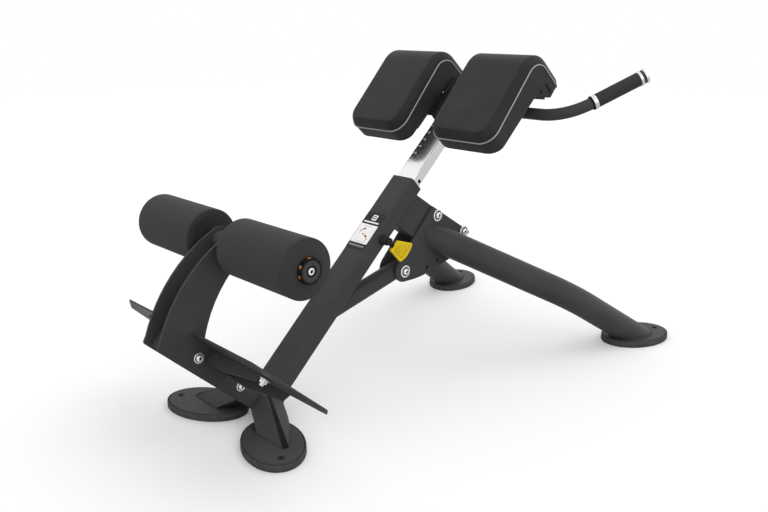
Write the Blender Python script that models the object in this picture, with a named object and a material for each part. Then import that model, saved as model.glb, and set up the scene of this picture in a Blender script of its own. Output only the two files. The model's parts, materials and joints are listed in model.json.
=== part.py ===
"""Hyperextension bench: tilted main tube, telescoping chrome post with two
thigh pads and handles, two ankle rollers on a curved arm, foot plate and
four splayed legs.  Metres, +Z up, +X to the user's right, +Y forward.
The origin is on the floor under the middle of the bench."""

import math

import bmesh
import bpy
from mathutils import Matrix, Vector

# Driving dimensions
GAP = 0.0003                  # air left between touching pieces
TILT = math.radians(43.36)    # main tube against the floor
SHIFT_Y = -0.5170             # moves the layout so the origin is centred

TUBE_WIDTH = 0.0762
TUBE_FRONT = -0.0316          # front face, measured square to the tube
TUBE_BACK = 0.0192
TUBE_WALL = 0.0030
TUBE_CORNER = 0.0075
TUBE_LOW = 0.0866
TUBE_TOP = 0.7490
SEAT_THICK = 0.0060

POST_RUNNING = 0.0004         # clearance of the post in its guide
GUIDE_SIDE = 0.0023           # walls of the plastic guide round the post
GUIDE_FRONT = 0.0055
GUIDE_REAR = 0.0043
POST_WIDTH = TUBE_WIDTH - 2 * (TUBE_WALL + GAP + GUIDE_SIDE + POST_RUNNING)
POST_FRONT = TUBE_FRONT + TUBE_WALL + GAP + GUIDE_FRONT + POST_RUNNING
POST_BACK = TUBE_BACK - TUBE_WALL - GAP - GUIDE_REAR - POST_RUNNING
POST_WALL = 0.0025
POST_CORNER = 0.0035
POST_LOW = 0.4450
GUIDE_LENGTH = 0.0580
GLIDE_LENGTH = 0.0200

HOLE_PITCH = 0.0245
HOLES_BELOW = 4
HOLES_ABOVE = 8
PIN_ALONG = 0.5670
PIN_BACK = 0.0000
PIN_RADIUS = 0.0050
PIN_CLEARANCE = 0.0004
PIN_TIP = POST_WIDTH / 2 - 0.0059
HOUSING_LENGTH = 0.0190
HOUSING_RADIUS = 0.0125
LEVER_THICKNESS = 0.0080
LEVER_OFFSET = 0.0008

ARM_PLATE = 0.0060
ARM_INSET = 0.0056            # side plates of the arm stand in from the tube
ARM_INNER = TUBE_WIDTH / 2 - ARM_INSET - ARM_PLATE
ARM_TOP_RADIUS = 0.0320
AXLE_BACK = -0.3614
AXLE_ALONG = 0.2914
AXLE_RADIUS = 0.0080
BOSS_RADIUS = 0.0220
ROLLER_RADIUS = 0.0650
ROLLER_IN = ARM_INNER + ARM_PLATE + 0.0271
ROLLER_OUT = ROLLER_IN + 0.2188
ROLLER_BORE = 0.0212
HUB_RING_RADIUS = 0.0280
HUB_RING_OUT = ROLLER_OUT + 0.0106
INNER_DISC_RADIUS = 0.0550
INNER_DISC = 0.0030

TREAD_LOW = 0.0822            # foot plate underside, along the tube
TREAD_THICK = 0.0040
TREAD_HEEL = -0.3180
TREAD_HEEL_X = 0.2560
TREAD_TIP = -0.2120
TREAD_TIP_X = 0.4020
TREAD_TOE = -0.1660
TREAD_TOE_X = 0.3620
TREAD_NOTCH = ARM_INNER + ARM_PLATE + 0.0010

PLATE_INSET = 0.0051          # rear bracket plates stand in from the tube
PLATE_OUTER = TUBE_WIDTH / 2 - PLATE_INSET
PLATE_THICK = 0.0060
STUB_REACH = 0.1550           # block behind the tube, between the plates
STUB_LOW = 0.6296
STUB_LOW_REAR = 0.6576
STUB_HIGH = 0.7345
STUB_HIGH_REAR = 0.7660
PLATE_TOP = 0.7497            # corners of the bracket plates
PLATE_TOP_BACK = 0.0925
PLATE_REAR = 0.7977
PLATE_REAR_BACK = 0.2785
PLATE_HEEL = 0.6885
PLATE_HEEL_BACK = 0.2660
PLATE_BELLY = 0.5820          # bend of the long lower edge
PLATE_BELLY_BACK = 0.2038
PLATE_FOOT = 0.4850
PLATE_FOOT_BACK = 0.1090

FOOT_HEIGHT = 0.0120          # rubber foot
FOOT_PLATE = 0.0060           # steel plate on it
FOOT_LONG = 0.1110
FOOT_SHORT = 0.0735
FOOT_INSET = 0.0050
FRONT_FOOT_X = 0.1385
FRONT_FOOT_Y = -0.0310
FRONT_FOOT_TURN = math.radians(-24.0)
REAR_FOOT_X = 0.3730
REAR_FOOT_Y = 1.1665
REAR_FOOT_TURN = math.radians(71.4)
REAR_FOOT_SHORT = 0.0790
FOOT_HOLE_AT = 0.0800
FOOT_HOLE_RADIUS = 0.0055

LEG_SEAT = FOOT_HEIGHT + GAP + FOOT_PLATE + GAP
LEG_HALF_TALL = 0.0387        # oval section of the rear legs
LEG_HALF_WIDE = 0.0465
LEG_WALL = 0.0030
LEG_START = (PLATE_OUTER + GAP, 0.6460, 0.3440)
LEG_BEND = (0.3047, 0.9092, 0.1763)
LEG_END = (0.3723, 1.1483, LEG_SEAT)
LEG_SOFT = 0.0700             # reach of the bend to either side

STRUT_RADIUS = PLATE_OUTER - PLATE_THICK - 0.0020
STRUT_WALL = 0.0030

PAD_TILT = math.radians(6.0)  # pads stand steeper than the tube
PAD_INNER = 0.0532
PAD_OUTER = 0.2624
PAD_TOP_SEAM = 1.1248         # seam line of the short top leg
PAD_LENGTH = 0.2711
PAD_LOW = PAD_TOP_SEAM - PAD_LENGTH
PAD_SEAM = -0.0955            # seam line of the long face
PAD_BEND = 0.0478
PAD_END = 0.0340              # end of the short leg
PAD_CROWN = 0.0290            # height of the face over the seam, low end
PAD_CROWN_DROP = 0.0062       # and how much less it is at the bend
PAD_CORNER_LOW = 0.0425
PAD_CORNER_TOP = 0.0180
PAD_PIVOT = PAD_TOP_SEAM - 0.1248
BOARD_BACK = -0.0340
BOARD_LOW = PAD_LOW + 0.0043
BOARD_KNEE = PAD_TOP_SEAM - 0.0682
BOARD_END = PAD_TOP_SEAM - 0.0208
BOARD_END_BACK = 0.0205
BOARD_DRAFT = 0.0015

POST_TOP = BOARD_KNEE + 0.0184
CROSS_THICK = 0.0050
CROSS_HIGH = BOARD_KNEE - 0.0066
CROSS_LOW = CROSS_HIGH - 0.0815
CROSS_HALF = PAD_OUTER - 0.0324
CHEEK_LOW = BOARD_KNEE - 0.0866  # webs of the cross plate between the pads
CHEEK_HIGH = BOARD_KNEE + 0.0519
CHEEK_THICK = 0.0054
CHEEK_ROUND = 0.0120
SUPPORT_LOW = BOARD_KNEE - 0.1431
SUPPORT_REACH = 0.0690        # flange of the support under the short leg

BAR_RADIUS = 0.0155
BAR_WALL = 0.0025
BAR_ALONG = BOARD_KNEE - 0.0061
BAR_BACK = POST_BACK + GAP + BAR_RADIUS
BAR_STRAIGHT = 0.2515
BAR_BEND = 0.1379
BAR_ANGLE = math.radians(57.1)
BAR_TILT = math.radians(11.36)
BAR_TAIL = 0.1560
GRIP_RADIUS = 0.0180
RING_RADIUS = 0.0195


def material(name, colour, rough, metal=0.0):
    """One Principled material in linear colour."""
    mat = bpy.data.materials.new(name)
    mat.use_nodes = True
    shader = mat.node_tree.nodes["Principled BSDF"]
    shader.inputs["Base Color"].default_value = (*colour, 1.0)
    shader.inputs["Roughness"].default_value = rough
    shader.inputs["Metallic"].default_value = metal
    mat.diffuse_color = (*colour, 1.0)
    return mat


LOOKS = {
    "frame": ((0.052, 0.052, 0.053), 0.45, 0.3),
    "foam": ((0.045, 0.045, 0.045), 0.85, 0.0),
    "leather": ((0.032, 0.032, 0.032), 0.60, 0.0),
    "board": ((0.028, 0.028, 0.028), 0.65, 0.0),
    "rubber": ((0.030, 0.030, 0.030), 0.80, 0.0),
    "plastic": ((0.020, 0.020, 0.020), 0.40, 0.0),
    "chrome": ((0.80, 0.80, 0.80), 0.08, 1.0),
    "zinc": ((0.62, 0.62, 0.60), 0.30, 1.0),
    "aluminium": ((0.60, 0.60, 0.58), 0.30, 1.0),
    "yellow": ((0.72, 0.52, 0.015), 0.40, 0.0),
    "placard": ((0.80, 0.80, 0.80), 0.45, 0.0),
}


class Frame:
    """An empty that carries pieces, tilted like the main tube or upright."""

    def __init__(self, name, offset=(0, 0, 0), tilted=True, parent=None):
        self.offset = Vector(offset)
        self.empty = bpy.data.objects.new(name, None)
        self.empty.empty_display_size = 0.05
        bpy.context.scene.collection.objects.link(self.empty)
        if tilted:
            turn = Matrix.Rotation(TILT - math.pi / 2, 4, "X")
            spot = turn @ self.offset
            self.empty.rotation_euler = (TILT - math.pi / 2, 0, 0)
        else:
            spot = self.offset
        self.empty.location = spot + Vector((0, SHIFT_Y, 0))


def finish(name, bm, look, frame, smooth=30.0, bevel=0.0, segments=1):
    """Turn a bmesh into a named object with its origin at its own middle."""
    bmesh.ops.recalc_face_normals(bm, faces=bm.faces)
    low = Vector([min(v.co[k] for v in bm.verts) for k in range(3)])
    high = Vector([max(v.co[k] for v in bm.verts) for k in range(3)])
    middle = (low + high) / 2
    bmesh.ops.translate(bm, verts=bm.verts, vec=-middle)
    mesh = bpy.data.meshes.new(name)
    bm.to_mesh(mesh)
    bm.free()
    if smooth:
        mesh.shade_smooth()
        mesh.set_sharp_from_angle(angle=math.radians(smooth))
    obj = bpy.data.objects.new(name, mesh)
    bpy.context.scene.collection.objects.link(obj)
    obj.parent = frame.empty
    obj.location = middle - frame.offset
    if look:
        mesh.materials.append(material(name + "_finish", *LOOKS[look]))
    if bevel:
        mod = obj.modifiers.new("Edge", "BEVEL")
        mod.width = bevel
        mod.segments = segments
        mod.limit_method = "ANGLE"
        mod.angle_limit = math.radians(40)
    return obj


def cut(target, cutter):
    """Boolean difference with a hidden wire cutter."""
    cutter.hide_render = True
    cutter.display_type = "WIRE"
    mod = target.modifiers.new("Cut " + cutter.name, "BOOLEAN")
    mod.operation = "DIFFERENCE"
    mod.object = cutter


def unite(target, tool):
    """Boolean union with a hidden wire tool."""
    tool.hide_render = True
    tool.display_type = "WIRE"
    mod = target.modifiers.new("Join " + tool.name, "BOOLEAN")
    mod.operation = "UNION"
    mod.object = tool


def fillet(corners, steps=5):
    """Outline through (u, v, radius) corners, each rounded by its radius."""
    outline = []
    count = len(corners)
    for k in range(count):
        u, v, radius = corners[k]
        here = Vector((u, v))
        before = Vector(corners[k - 1][:2]) - here
        after = Vector(corners[(k + 1) % count][:2]) - here
        if radius <= 0:
            outline.append((u, v))
            continue
        before.normalize()
        after.normalize()
        half = before.angle(after) / 2
        reach = radius / math.tan(half)
        centre = here + (before + after).normalized() * (radius / math.sin(half))
        start = here + before * reach - centre
        stop = here + after * reach - centre
        turn = start.angle_signed(stop)
        for i in range(steps + 1):
            angle = -turn * i / steps
            c, s = math.cos(angle), math.sin(angle)
            outline.append((centre.x + start.x * c - start.y * s,
                            centre.y + start.x * s + start.y * c))
    return outline


def arc_through(p, q, r, steps):
    """Points on the circle arc from p through q to r."""
    ax, ay = p
    bx, by = q
    cx, cy = r
    d = 2 * (ax * (by - cy) + bx * (cy - ay) + cx * (ay - by))
    ux = ((ax * ax + ay * ay) * (by - cy) + (bx * bx + by * by) * (cy - ay)
          + (cx * cx + cy * cy) * (ay - by)) / d
    uy = ((ax * ax + ay * ay) * (cx - bx) + (bx * bx + by * by) * (ax - cx)
          + (cx * cx + cy * cy) * (bx - ax)) / d
    first = math.atan2(ay - uy, ax - ux)
    mid = math.atan2(by - uy, bx - ux)
    last = math.atan2(cy - uy, cx - ux)
    radius = math.hypot(ax - ux, ay - uy)
    sweep = (last - first) % (2 * math.pi)
    if (mid - first) % (2 * math.pi) > sweep:
        sweep -= 2 * math.pi
    return [(ux + radius * math.cos(first + sweep * i / steps),
             uy + radius * math.sin(first + sweep * i / steps))
            for i in range(steps + 1)]


def prism(outline, low, high, axis="x"):
    """Extrude an outline along one axis of the frame."""
    bm = bmesh.new()

    def at(u, v, w):
        if axis == "x":
            return (w, u, v)
        if axis == "y":
            return (u, w, v)
        return (u, v, w)

    ring = [bm.verts.new(at(u, v, low)) for u, v in outline]
    face = bm.faces.new(ring)
    grown = bmesh.ops.extrude_face_region(bm, geom=[face])
    moved = [e for e in grown["geom"] if isinstance(e, bmesh.types.BMVert)]
    bmesh.ops.translate(bm, verts=moved,
                        vec=Vector(at(0, 0, high)) - Vector(at(0, 0, low)))
    return bm


def box_outline(x, back0, back1, corner, steps=4):
    """Rounded rectangle, symmetric in x."""
    return fillet([(-x, back0, corner), (x, back0, corner),
                   (x, back1, corner), (-x, back1, corner)], steps)


def loops_to_tube(rings, closed_ends=True):
    """Skin a list of rings of points; the ends are capped."""
    bm = bmesh.new()
    made = [[bm.verts.new(p) for p in ring] for ring in rings]
    count = len(made[0])
    for a, b in zip(made, made[1:]):
        for i in range(count):
            j = (i + 1) % count
            bm.faces.new((a[i], a[j], b[j], b[i]))
    if closed_ends:
        bm.faces.new(list(reversed(made[0])))
        bm.faces.new(made[-1])
    return bm


def hollow(outer, inner):
    """Tube wall between two lists of rings, open at both ends."""
    bm = bmesh.new()
    out = [[bm.verts.new(p) for p in ring] for ring in outer]
    inn = [[bm.verts.new(p) for p in ring] for ring in inner]
    count = len(out[0])
    for rings in (out, inn):
        for a, b in zip(rings, rings[1:]):
            for i in range(count):
                j = (i + 1) % count
                bm.faces.new((a[i], a[j], b[j], b[i]))
    for k in (0, -1):
        for i in range(count):
            j = (i + 1) % count
            bm.faces.new((out[k][i], out[k][j], inn[k][j], inn[k][i]))
    return bm


def rect_tube(x, back0, back1, wall, corner, low, high):
    """Rectangular tube along the frame's third axis."""
    outer = box_outline(x, back0, back1, corner)
    inner = box_outline(x - wall, back0 + wall, back1 - wall,
                        max(corner - wall, 0.0008))
    return hollow([[(u, v, w) for u, v in outer] for w in (low, high)],
                  [[(u, v, w) for u, v in inner] for w in (low, high)])


def turned(stations, centre, axis="x", sides=20):
    """Solid of revolution through (position, radius) stations."""
    rings = []
    for w, radius in stations:
        ring = []
        for i in range(sides):
            angle = 2 * math.pi * i / sides
            u, v = radius * math.cos(angle), radius * math.sin(angle)
            if axis == "x":
                ring.append((w, centre[0] + u, centre[1] + v))
            else:
                ring.append((centre[0] + u, centre[1] + v, w))
        rings.append(ring)
    return loops_to_tube(rings)


def turned_ring(profile, centre, sides=24):
    """Ring of revolution about x from a closed (position, radius) profile."""
    bm = bmesh.new()
    rings = []
    for i in range(sides):
        angle = 2 * math.pi * i / sides
        c, s = math.cos(angle), math.sin(angle)
        rings.append([bm.verts.new((w, centre[0] + r * c, centre[1] + r * s))
                      for w, r in profile])
    count = len(profile)
    for i in range(sides):
        a, b = rings[i], rings[(i + 1) % sides]
        for k in range(count):
            m = (k + 1) % count
            bm.faces.new((a[k], a[m], b[m], b[k]))
    return bm


def sweep(path, section, start_normal=None, end_normal=None):
    """Rings of a section along a path; end rings may lie in a given plane.
    The section is a list of (side, up) offsets, side kept level."""
    rings = []
    for k, point in enumerate(path):
        ahead = path[min(k + 1, len(path) - 1)] - path[max(k - 1, 0)]
        ahead.normalize()
        side = ahead.cross(Vector((0, 0, 1))).normalized()
        up = side.cross(ahead).normalized()
        ring = [point + side * u + up * v for u, v in section]
        plane = None
        if k == 0 and start_normal is not None:
            plane = start_normal
        if k == len(path) - 1 and end_normal is not None:
            plane = end_normal
        if plane is not None:
            ring = [p - ahead * ((p - point).dot(plane) / ahead.dot(plane))
                    for p in ring]
        rings.append(ring)
    return rings


def ellipse(long, short, sides, phase=0.0):
    return [(long * math.cos(2 * math.pi * i / sides + phase),
             short * math.sin(2 * math.pi * i / sides + phase))
            for i in range(sides)]


for old in list(bpy.data.objects):
    bpy.data.objects.remove(old)

FIXED = Frame("tilted_frame")
FLOOR = Frame("floor_frame", tilted=False)
POST = Frame("post_slide_axis",
             (0, (POST_FRONT + POST_BACK) / 2, TUBE_TOP))
PIN = Frame("pin_axis", (TUBE_WIDTH / 2, PIN_BACK, PIN_ALONG))
ROLLERS = {
    "left": Frame("left_roller_axis", (-0.167, AXLE_BACK, AXLE_ALONG)),
    "right": Frame("right_roller_axis", (0.167, AXLE_BACK, AXLE_ALONG)),
}
SIDES = (("left", -1), ("right", 1))


def span(sign, a, b):
    """Ordered pair of x positions on one side."""
    return (a, b) if sign > 0 else (-b, -a)


# Main tube with the pin hole in its right wall
tube = finish("main_tube",
              rect_tube(TUBE_WIDTH / 2, TUBE_FRONT, TUBE_BACK, TUBE_WALL,
                        TUBE_CORNER, TUBE_LOW, TUBE_TOP), "frame", FIXED)
hole = finish("main_tube_pin_hole",
              turned([(POST_WIDTH / 2, PIN_RADIUS + 0.001),
                      (TUBE_WIDTH / 2 + 0.010, PIN_RADIUS + 0.001)],
                     (PIN_BACK, PIN_ALONG), sides=16), None, FIXED)
cut(tube, hole)

inside = TUBE_WALL + GAP
guide_out = box_outline(TUBE_WIDTH / 2 - inside, TUBE_FRONT + inside,
                        TUBE_BACK - inside, TUBE_CORNER - TUBE_WALL)
guide_in = box_outline(POST_WIDTH / 2 + POST_RUNNING,
                       POST_FRONT - POST_RUNNING,
                       POST_BACK + POST_RUNNING, POST_CORNER)
guide_ends = (TUBE_TOP - GUIDE_LENGTH, TUBE_TOP - 0.0005)
finish("post_guide",
       hollow([[(u, v, w) for u, v in guide_out] for w in guide_ends],
              [[(u, v, w) for u, v in guide_in] for w in guide_ends]),
       "plastic", FIXED)

# Seat plate under the lower end of the main tube
finish("tube_seat_plate",
       prism(box_outline(ARM_INNER + ARM_PLATE, -0.0480, 0.0310, 0.004, 2),
             TUBE_LOW - GAP - SEAT_THICK, TUBE_LOW - GAP, "z"), "frame", FIXED)

# Curved arm: two side plates with a long foot under the main tube
arm_top = (AXLE_BACK, AXLE_ALONG)
outer_curve = arc_through((-0.3880, 0.3080), (-0.4075, 0.2000),
                          (-0.3670, 0.0240), 12)
inner_curve = arc_through((-0.2830, 0.0970), (-0.3080, 0.1500),
                          (-0.3255, 0.2450), 6)
foot_curve = [(-0.0467, 0.0694), (-0.0720, 0.0614), (-0.0972, 0.0560),
              (-0.1330, 0.0532), (-0.1680, 0.0537), (-0.2010, 0.0568),
              (-0.2310, 0.0630), (-0.2560, 0.0718),
              (-0.2728, TREAD_LOW - 2 * GAP), (-0.2776, 0.0885)]
crown = [(arm_top[0] + ARM_TOP_RADIUS * math.cos(t),
          arm_top[1] + ARM_TOP_RADIUS * math.sin(t))
         for t in [math.radians(5 + 115 * i / 6) for i in range(7)]]
heel = fillet([(-0.3670, 0.0240, 0), (-0.3625, 0.0085, 0.008),
               (-0.2188, 0.0161, 0)], 4)[1:-1]
seat_under = TUBE_LOW - SEAT_THICK - 2 * GAP
arm_outline = (outer_curve + heel
               + [(-0.2188, 0.0161), (-0.0570, 0.0252), (0.0260, 0.0290),
                  (0.0300, 0.0330), (0.0300, seat_under),
                  (-0.0240, seat_under), (-0.0320, 0.0755)]
               + foot_curve + inner_curve + crown)
for side, sign in SIDES:
    x0, x1 = span(sign, ARM_INNER, ARM_INNER + ARM_PLATE)
    plate = finish("arm_plate_" + side, prism(arm_outline, x0, x1), "frame",
                   FIXED, bevel=0.0008)
    for label, b, a, r in (("axle", AXLE_BACK, AXLE_ALONG, AXLE_RADIUS),
                           ("rear_bolt", -0.1162, 0.0536, 0.0050),
                           ("front_bolt", -0.2627, 0.0485, 0.0050)):
        drill = finish("arm_%s_%s_hole" % (side, label),
                       turned([(x0 - 0.01, r + 0.0004), (x1 + 0.01, r + 0.0004)],
                              (b, a), sides=12), None, FIXED)
        cut(plate, drill)

finish("arm_front_web",
       prism(fillet([(-0.3450, 0.0150, 0), (-0.3400, 0.0150, 0),
                     (-0.3400, 0.1150, 0), (-0.3450, 0.1150, 0)]),
             -ARM_INNER + GAP, ARM_INNER - GAP), "frame", FIXED)

bore = AXLE_RADIUS + 0.0003
finish("arm_boss",
       turned_ring([(-ARM_INNER + GAP, bore), (ARM_INNER - GAP, bore),
                    (ARM_INNER - GAP, BOSS_RADIUS),
                    (-ARM_INNER + GAP, BOSS_RADIUS)],
                   (AXLE_BACK, AXLE_ALONG), 20), "frame", FIXED)


def cross_bolt(name, b, a, reach, shaft, head, look="zinc", sides=12):
    """Bolt along x with a washer and a button head at both ends."""
    half = [(reach + GAP, shaft), (reach + GAP, head * 1.38),
            (reach + GAP + 0.0022, head * 1.38),
            (reach + GAP + 0.0022, head), (reach + GAP + 0.0060, head),
            (reach + GAP + 0.0085, head * 0.62)]
    stations = [(-w, r) for w, r in reversed(half)] + half
    return finish(name, turned(stations, (b, a), sides=sides), look, FIXED)


arm_outer = ARM_INNER + ARM_PLATE
cross_bolt("arm_bolt_front", -0.2627, 0.0485, arm_outer, 0.0050, 0.0085)
cross_bolt("arm_bolt_rear", -0.1162, 0.0536, arm_outer, 0.0050, 0.0085)

# Roller axle: one long bolt with a dome head at each end
head_at = HUB_RING_OUT - 0.0030
axle_half = [(head_at, AXLE_RADIUS), (head_at, 0.0115),
             (head_at + 0.0060, 0.0115), (head_at + 0.0095, 0.0085),
             (head_at + 0.0110, 0.0040)]
finish("roller_axle",
       turned([(-w, r) for w, r in reversed(axle_half)] + axle_half,
              (AXLE_BACK, AXLE_ALONG), sides=18), "chrome", FIXED)

# Rollers: foam sleeve on a plastic hub with an inner disc and an outer ring
for side, sign in SIDES:
    frame = ROLLERS[side]
    soft = 0.0045
    foam = [(ROLLER_IN, ROLLER_BORE), (ROLLER_IN, ROLLER_RADIUS - soft),
            (ROLLER_IN + 0.0014, ROLLER_RADIUS - 0.0013),
            (ROLLER_IN + soft, ROLLER_RADIUS - 0.0003)]
    count = 6
    for k in range(1, count):
        t = k / count
        swell = 0.0003 * math.sin(math.pi * t) - 0.0001
        foam.append((ROLLER_IN + soft + (ROLLER_OUT - ROLLER_IN - 2 * soft) * t,
                     ROLLER_RADIUS + swell))
    foam += [(ROLLER_OUT - soft, ROLLER_RADIUS - 0.0003),
             (ROLLER_OUT - 0.0014, ROLLER_RADIUS - 0.0013),
             (ROLLER_OUT, ROLLER_RADIUS - soft), (ROLLER_OUT, ROLLER_BORE)]
    foam = [(w * sign, r) for w, r in foam]
    finish("foam_roller_" + side, turned_ring(foam, (AXLE_BACK, AXLE_ALONG), 32),
           "foam", frame)
    inner = ROLLER_BORE - GAP
    disc = ROLLER_IN - GAP
    ring = ROLLER_OUT + GAP
    hub = [(arm_outer + 0.0006, bore), (arm_outer + 0.0006, 0.0150),
           (disc - INNER_DISC, 0.0150), (disc - INNER_DISC, INNER_DISC_RADIUS),
           (disc, INNER_DISC_RADIUS), (disc, inner), (ring, inner),
           (ring, HUB_RING_RADIUS), (HUB_RING_OUT - 0.0015, HUB_RING_RADIUS),
           (HUB_RING_OUT, HUB_RING_RADIUS - 0.0015), (HUB_RING_OUT, 0.0225),
           (HUB_RING_OUT - 0.0035, 0.0215), (HUB_RING_OUT - 0.0035, bore)]
    hub = [(w * sign, r) for w, r in hub]
    finish("roller_hub_" + side, turned_ring(hub, (AXLE_BACK, AXLE_ALONG), 20),
           "plastic", frame)

# Foot plate with a notch for the arm, and its two wing gussets
tread = fillet([(TREAD_NOTCH, TREAD_HEEL, 0), (TREAD_HEEL_X, TREAD_HEEL, 0.012),
                (TREAD_TIP_X, TREAD_TIP, 0.010), (TREAD_TOE_X, TREAD_TOE, 0.010),
                (-TREAD_TOE_X, TREAD_TOE, 0.010), (-TREAD_TIP_X, TREAD_TIP, 0.010),
                (-TREAD_HEEL_X, TREAD_HEEL, 0.012), (-TREAD_NOTCH, TREAD_HEEL, 0),
                (-TREAD_NOTCH, -0.2720, 0), (TREAD_NOTCH, -0.2720, 0)], 3)
foot_plate = finish("foot_plate",
                    prism(tread, TREAD_LOW, TREAD_LOW + TREAD_THICK, "z"),
                    "frame", FIXED, bevel=0.0006)
GUSSET_BACK = -0.2400
BOLT_X = 0.2260
for side, sign in SIDES:
    top = TREAD_LOW - GAP
    x_root = arm_outer + GAP
    shape = [(x_root, top), (0.2120, top), (0.2080, 0.0660),
             (0.1000, 0.0500), (x_root, 0.0500)]
    web = finish("wing_gusset_" + side,
                 prism([(sign * u, v) for u, v in shape], GUSSET_BACK - 0.0025,
                       GUSSET_BACK + 0.0025, "y"), "frame", FIXED)
    flange = fillet([(sign * (x_root + 0.02), GUSSET_BACK - 0.0025, 0),
                     (sign * 0.2450, GUSSET_BACK - 0.0150, 0.006),
                     (sign * 0.2450, GUSSET_BACK + 0.0150, 0.006),
                     (sign * (x_root + 0.02), GUSSET_BACK + 0.0150, 0)], 3)
    tab = finish("wing_flange_" + side,
                 prism(flange, top - 0.0040, top, "z"), None, FIXED)
    unite(web, tab)
    drill = finish("wing_bolt_hole_" + side,
                   turned([(0.060, 0.0054), (0.110, 0.0054)],
                          (sign * BOLT_X, GUSSET_BACK), "z", 12), None, FIXED)
    cut(web, drill)
    cut(foot_plate, drill)
    over = TREAD_LOW + TREAD_THICK + GAP
    under = top - 0.0040 - GAP
    finish("foot_plate_bolt_" + side,
           turned([(under - 0.0150, 0.0040), (under - 0.0140, 0.0050),
                   (under - 0.0092, 0.0050), (under - 0.0092, 0.0088),
                   (under - 0.0020, 0.0088), (under - 0.0020, 0.0115),
                   (under, 0.0115), (under, 0.0050), (over, 0.0050),
                   (over, 0.0095), (over + 0.0030, 0.0095),
                   (over + 0.0050, 0.0060)],
                  (sign * BOLT_X, GUSSET_BACK), "z", 14), "zinc", FIXED)

# Front legs: folded wedges between the arm's foot and the foot plates
for side, sign in SIDES:
    near = arm_outer + GAP
    points = [(0.0869, -0.0405, LEG_SEAT), (0.1850, -0.0383, LEG_SEAT),
              (0.1862, -0.0290, LEG_SEAT), (0.1885, -0.0227, LEG_SEAT),
              (0.1163, 0.0362, LEG_SEAT), (0.0640, 0.0160, LEG_SEAT),
              (0.0927, 0.0488, 0.0270), (0.0483, 0.0667, 0.0479),
              (0.0497, 0.0280, 0.0810), (0.0514, 0.0160, 0.0836),
              (near, 0.0149, 0.0822), (near, 0.0280, 0.0812),
              (near, 0.0740, 0.0430), (near, -0.0180, 0.0525),
              (near, 0.0300, 0.0440)]
    bm = bmesh.new()
    for x, y, z in points:
        bm.verts.new((sign * x, y, z))
    hull = bmesh.ops.convex_hull(bm, input=bm.verts)
    loose = [e for e in hull["geom_interior"] if isinstance(e, bmesh.types.BMVert)]
    bmesh.ops.delete(bm, geom=loose, context="VERTS")
    finish("front_leg_" + side, bm, "frame", FLOOR, smooth=20, bevel=0.0012,
           segments=1)

# Four oval feet: rubber pad below, steel plate with two holes above
for end, cx, cy, turn, short in (
        ("front", FRONT_FOOT_X, FRONT_FOOT_Y, FRONT_FOOT_TURN, FOOT_SHORT),
        ("rear", REAR_FOOT_X, REAR_FOOT_Y, REAR_FOOT_TURN, REAR_FOOT_SHORT)):
    for side, sign in SIDES:
        def spot(u, v):
            x = cx + u * math.cos(turn) - v * math.sin(turn)
            y = cy + u * math.sin(turn) + v * math.cos(turn)
            return sign * x, y

        def oval(inset, z, count=36):
            return [(*spot(u, v), z) for u, v in
                    ellipse(FOOT_LONG - inset, short - inset, count)]

        pad = loops_to_tube([oval(0.0010, 0.0), oval(0.0, 0.0015),
                             oval(0.0005, FOOT_HEIGHT - 0.0020),
                             oval(0.0025, FOOT_HEIGHT)])
        finish("%s_foot_pad_%s" % (end, side), pad, "rubber", FLOOR)
        z0 = FOOT_HEIGHT + GAP
        steel = loops_to_tube([oval(FOOT_INSET, z0),
                               oval(FOOT_INSET, z0 + FOOT_PLATE - 0.0012),
                               oval(FOOT_INSET + 0.0012, z0 + FOOT_PLATE)])
        steel = finish("%s_foot_plate_%s" % (end, side), steel, "frame", FLOOR)
        for mark, at in (("a", FOOT_HOLE_AT), ("b", -FOOT_HOLE_AT)):
            drill = finish("%s_foot_hole_%s_%s" % (end, side, mark),
                           turned([(z0 - 0.01, FOOT_HOLE_RADIUS),
                                   (z0 + 0.02, FOOT_HOLE_RADIUS)],
                                  spot(at, 0.0), "z", 12), None, FLOOR)
            cut(steel, drill)

# Rear bracket: stub behind the tube, two plates, strut and three bolts
STUB_HALF = PLATE_OUTER - PLATE_THICK - 0.0005
stub = finish("rear_stub",
              prism(fillet([(TUBE_BACK + GAP, STUB_LOW, 0.0),
                            (STUB_REACH, STUB_LOW_REAR, 0.004),
                            (STUB_REACH, STUB_HIGH_REAR, 0.004),
                            (TUBE_BACK + GAP, STUB_HIGH, 0)], 2),
                    -STUB_HALF, STUB_HALF), "frame", FIXED, bevel=0.0030,
              segments=2)
BOLTS = (("upper", 0.1278, 0.7445), ("rear", 0.2549, 0.7806),
         ("lower", 0.1395, 0.5583))
plate_outline = fillet([(PLATE_TOP_BACK, PLATE_TOP, 0.003),
                        (PLATE_REAR_BACK, PLATE_REAR, 0.004),
                        (PLATE_HEEL_BACK, PLATE_HEEL, 0.030),
                        (PLATE_BELLY_BACK, PLATE_BELLY, 0.250),
                        (PLATE_FOOT_BACK, PLATE_FOOT, 0.0313)], 6)
for side, sign in SIDES:
    x0, x1 = span(sign, PLATE_OUTER - PLATE_THICK, PLATE_OUTER)
    plate = finish("bracket_plate_" + side, prism(plate_outline, x0, x1),
                   "frame", FIXED, bevel=0.0008)
    for label, b, a, r in ([(n, b, a, 0.0064) for n, b, a in BOLTS]
                           + [("small_1", 0.2266, 0.6557, 0.0040),
                              ("small_2", 0.2042, 0.6151, 0.0040)]):
        drill = finish("plate_%s_%s_hole" % (side, label),
                       turned([(x0 - 0.01, r), (x1 + 0.01, r)], (b, a), sides=14),
                       None, FIXED)
        cut(plate, drill)
drill = finish("stub_bolt_hole", turned([(-0.05, 0.0064), (0.05, 0.0064)],
                                        BOLTS[0][1:], sides=12), None, FIXED)
cut(stub, drill)
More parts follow.
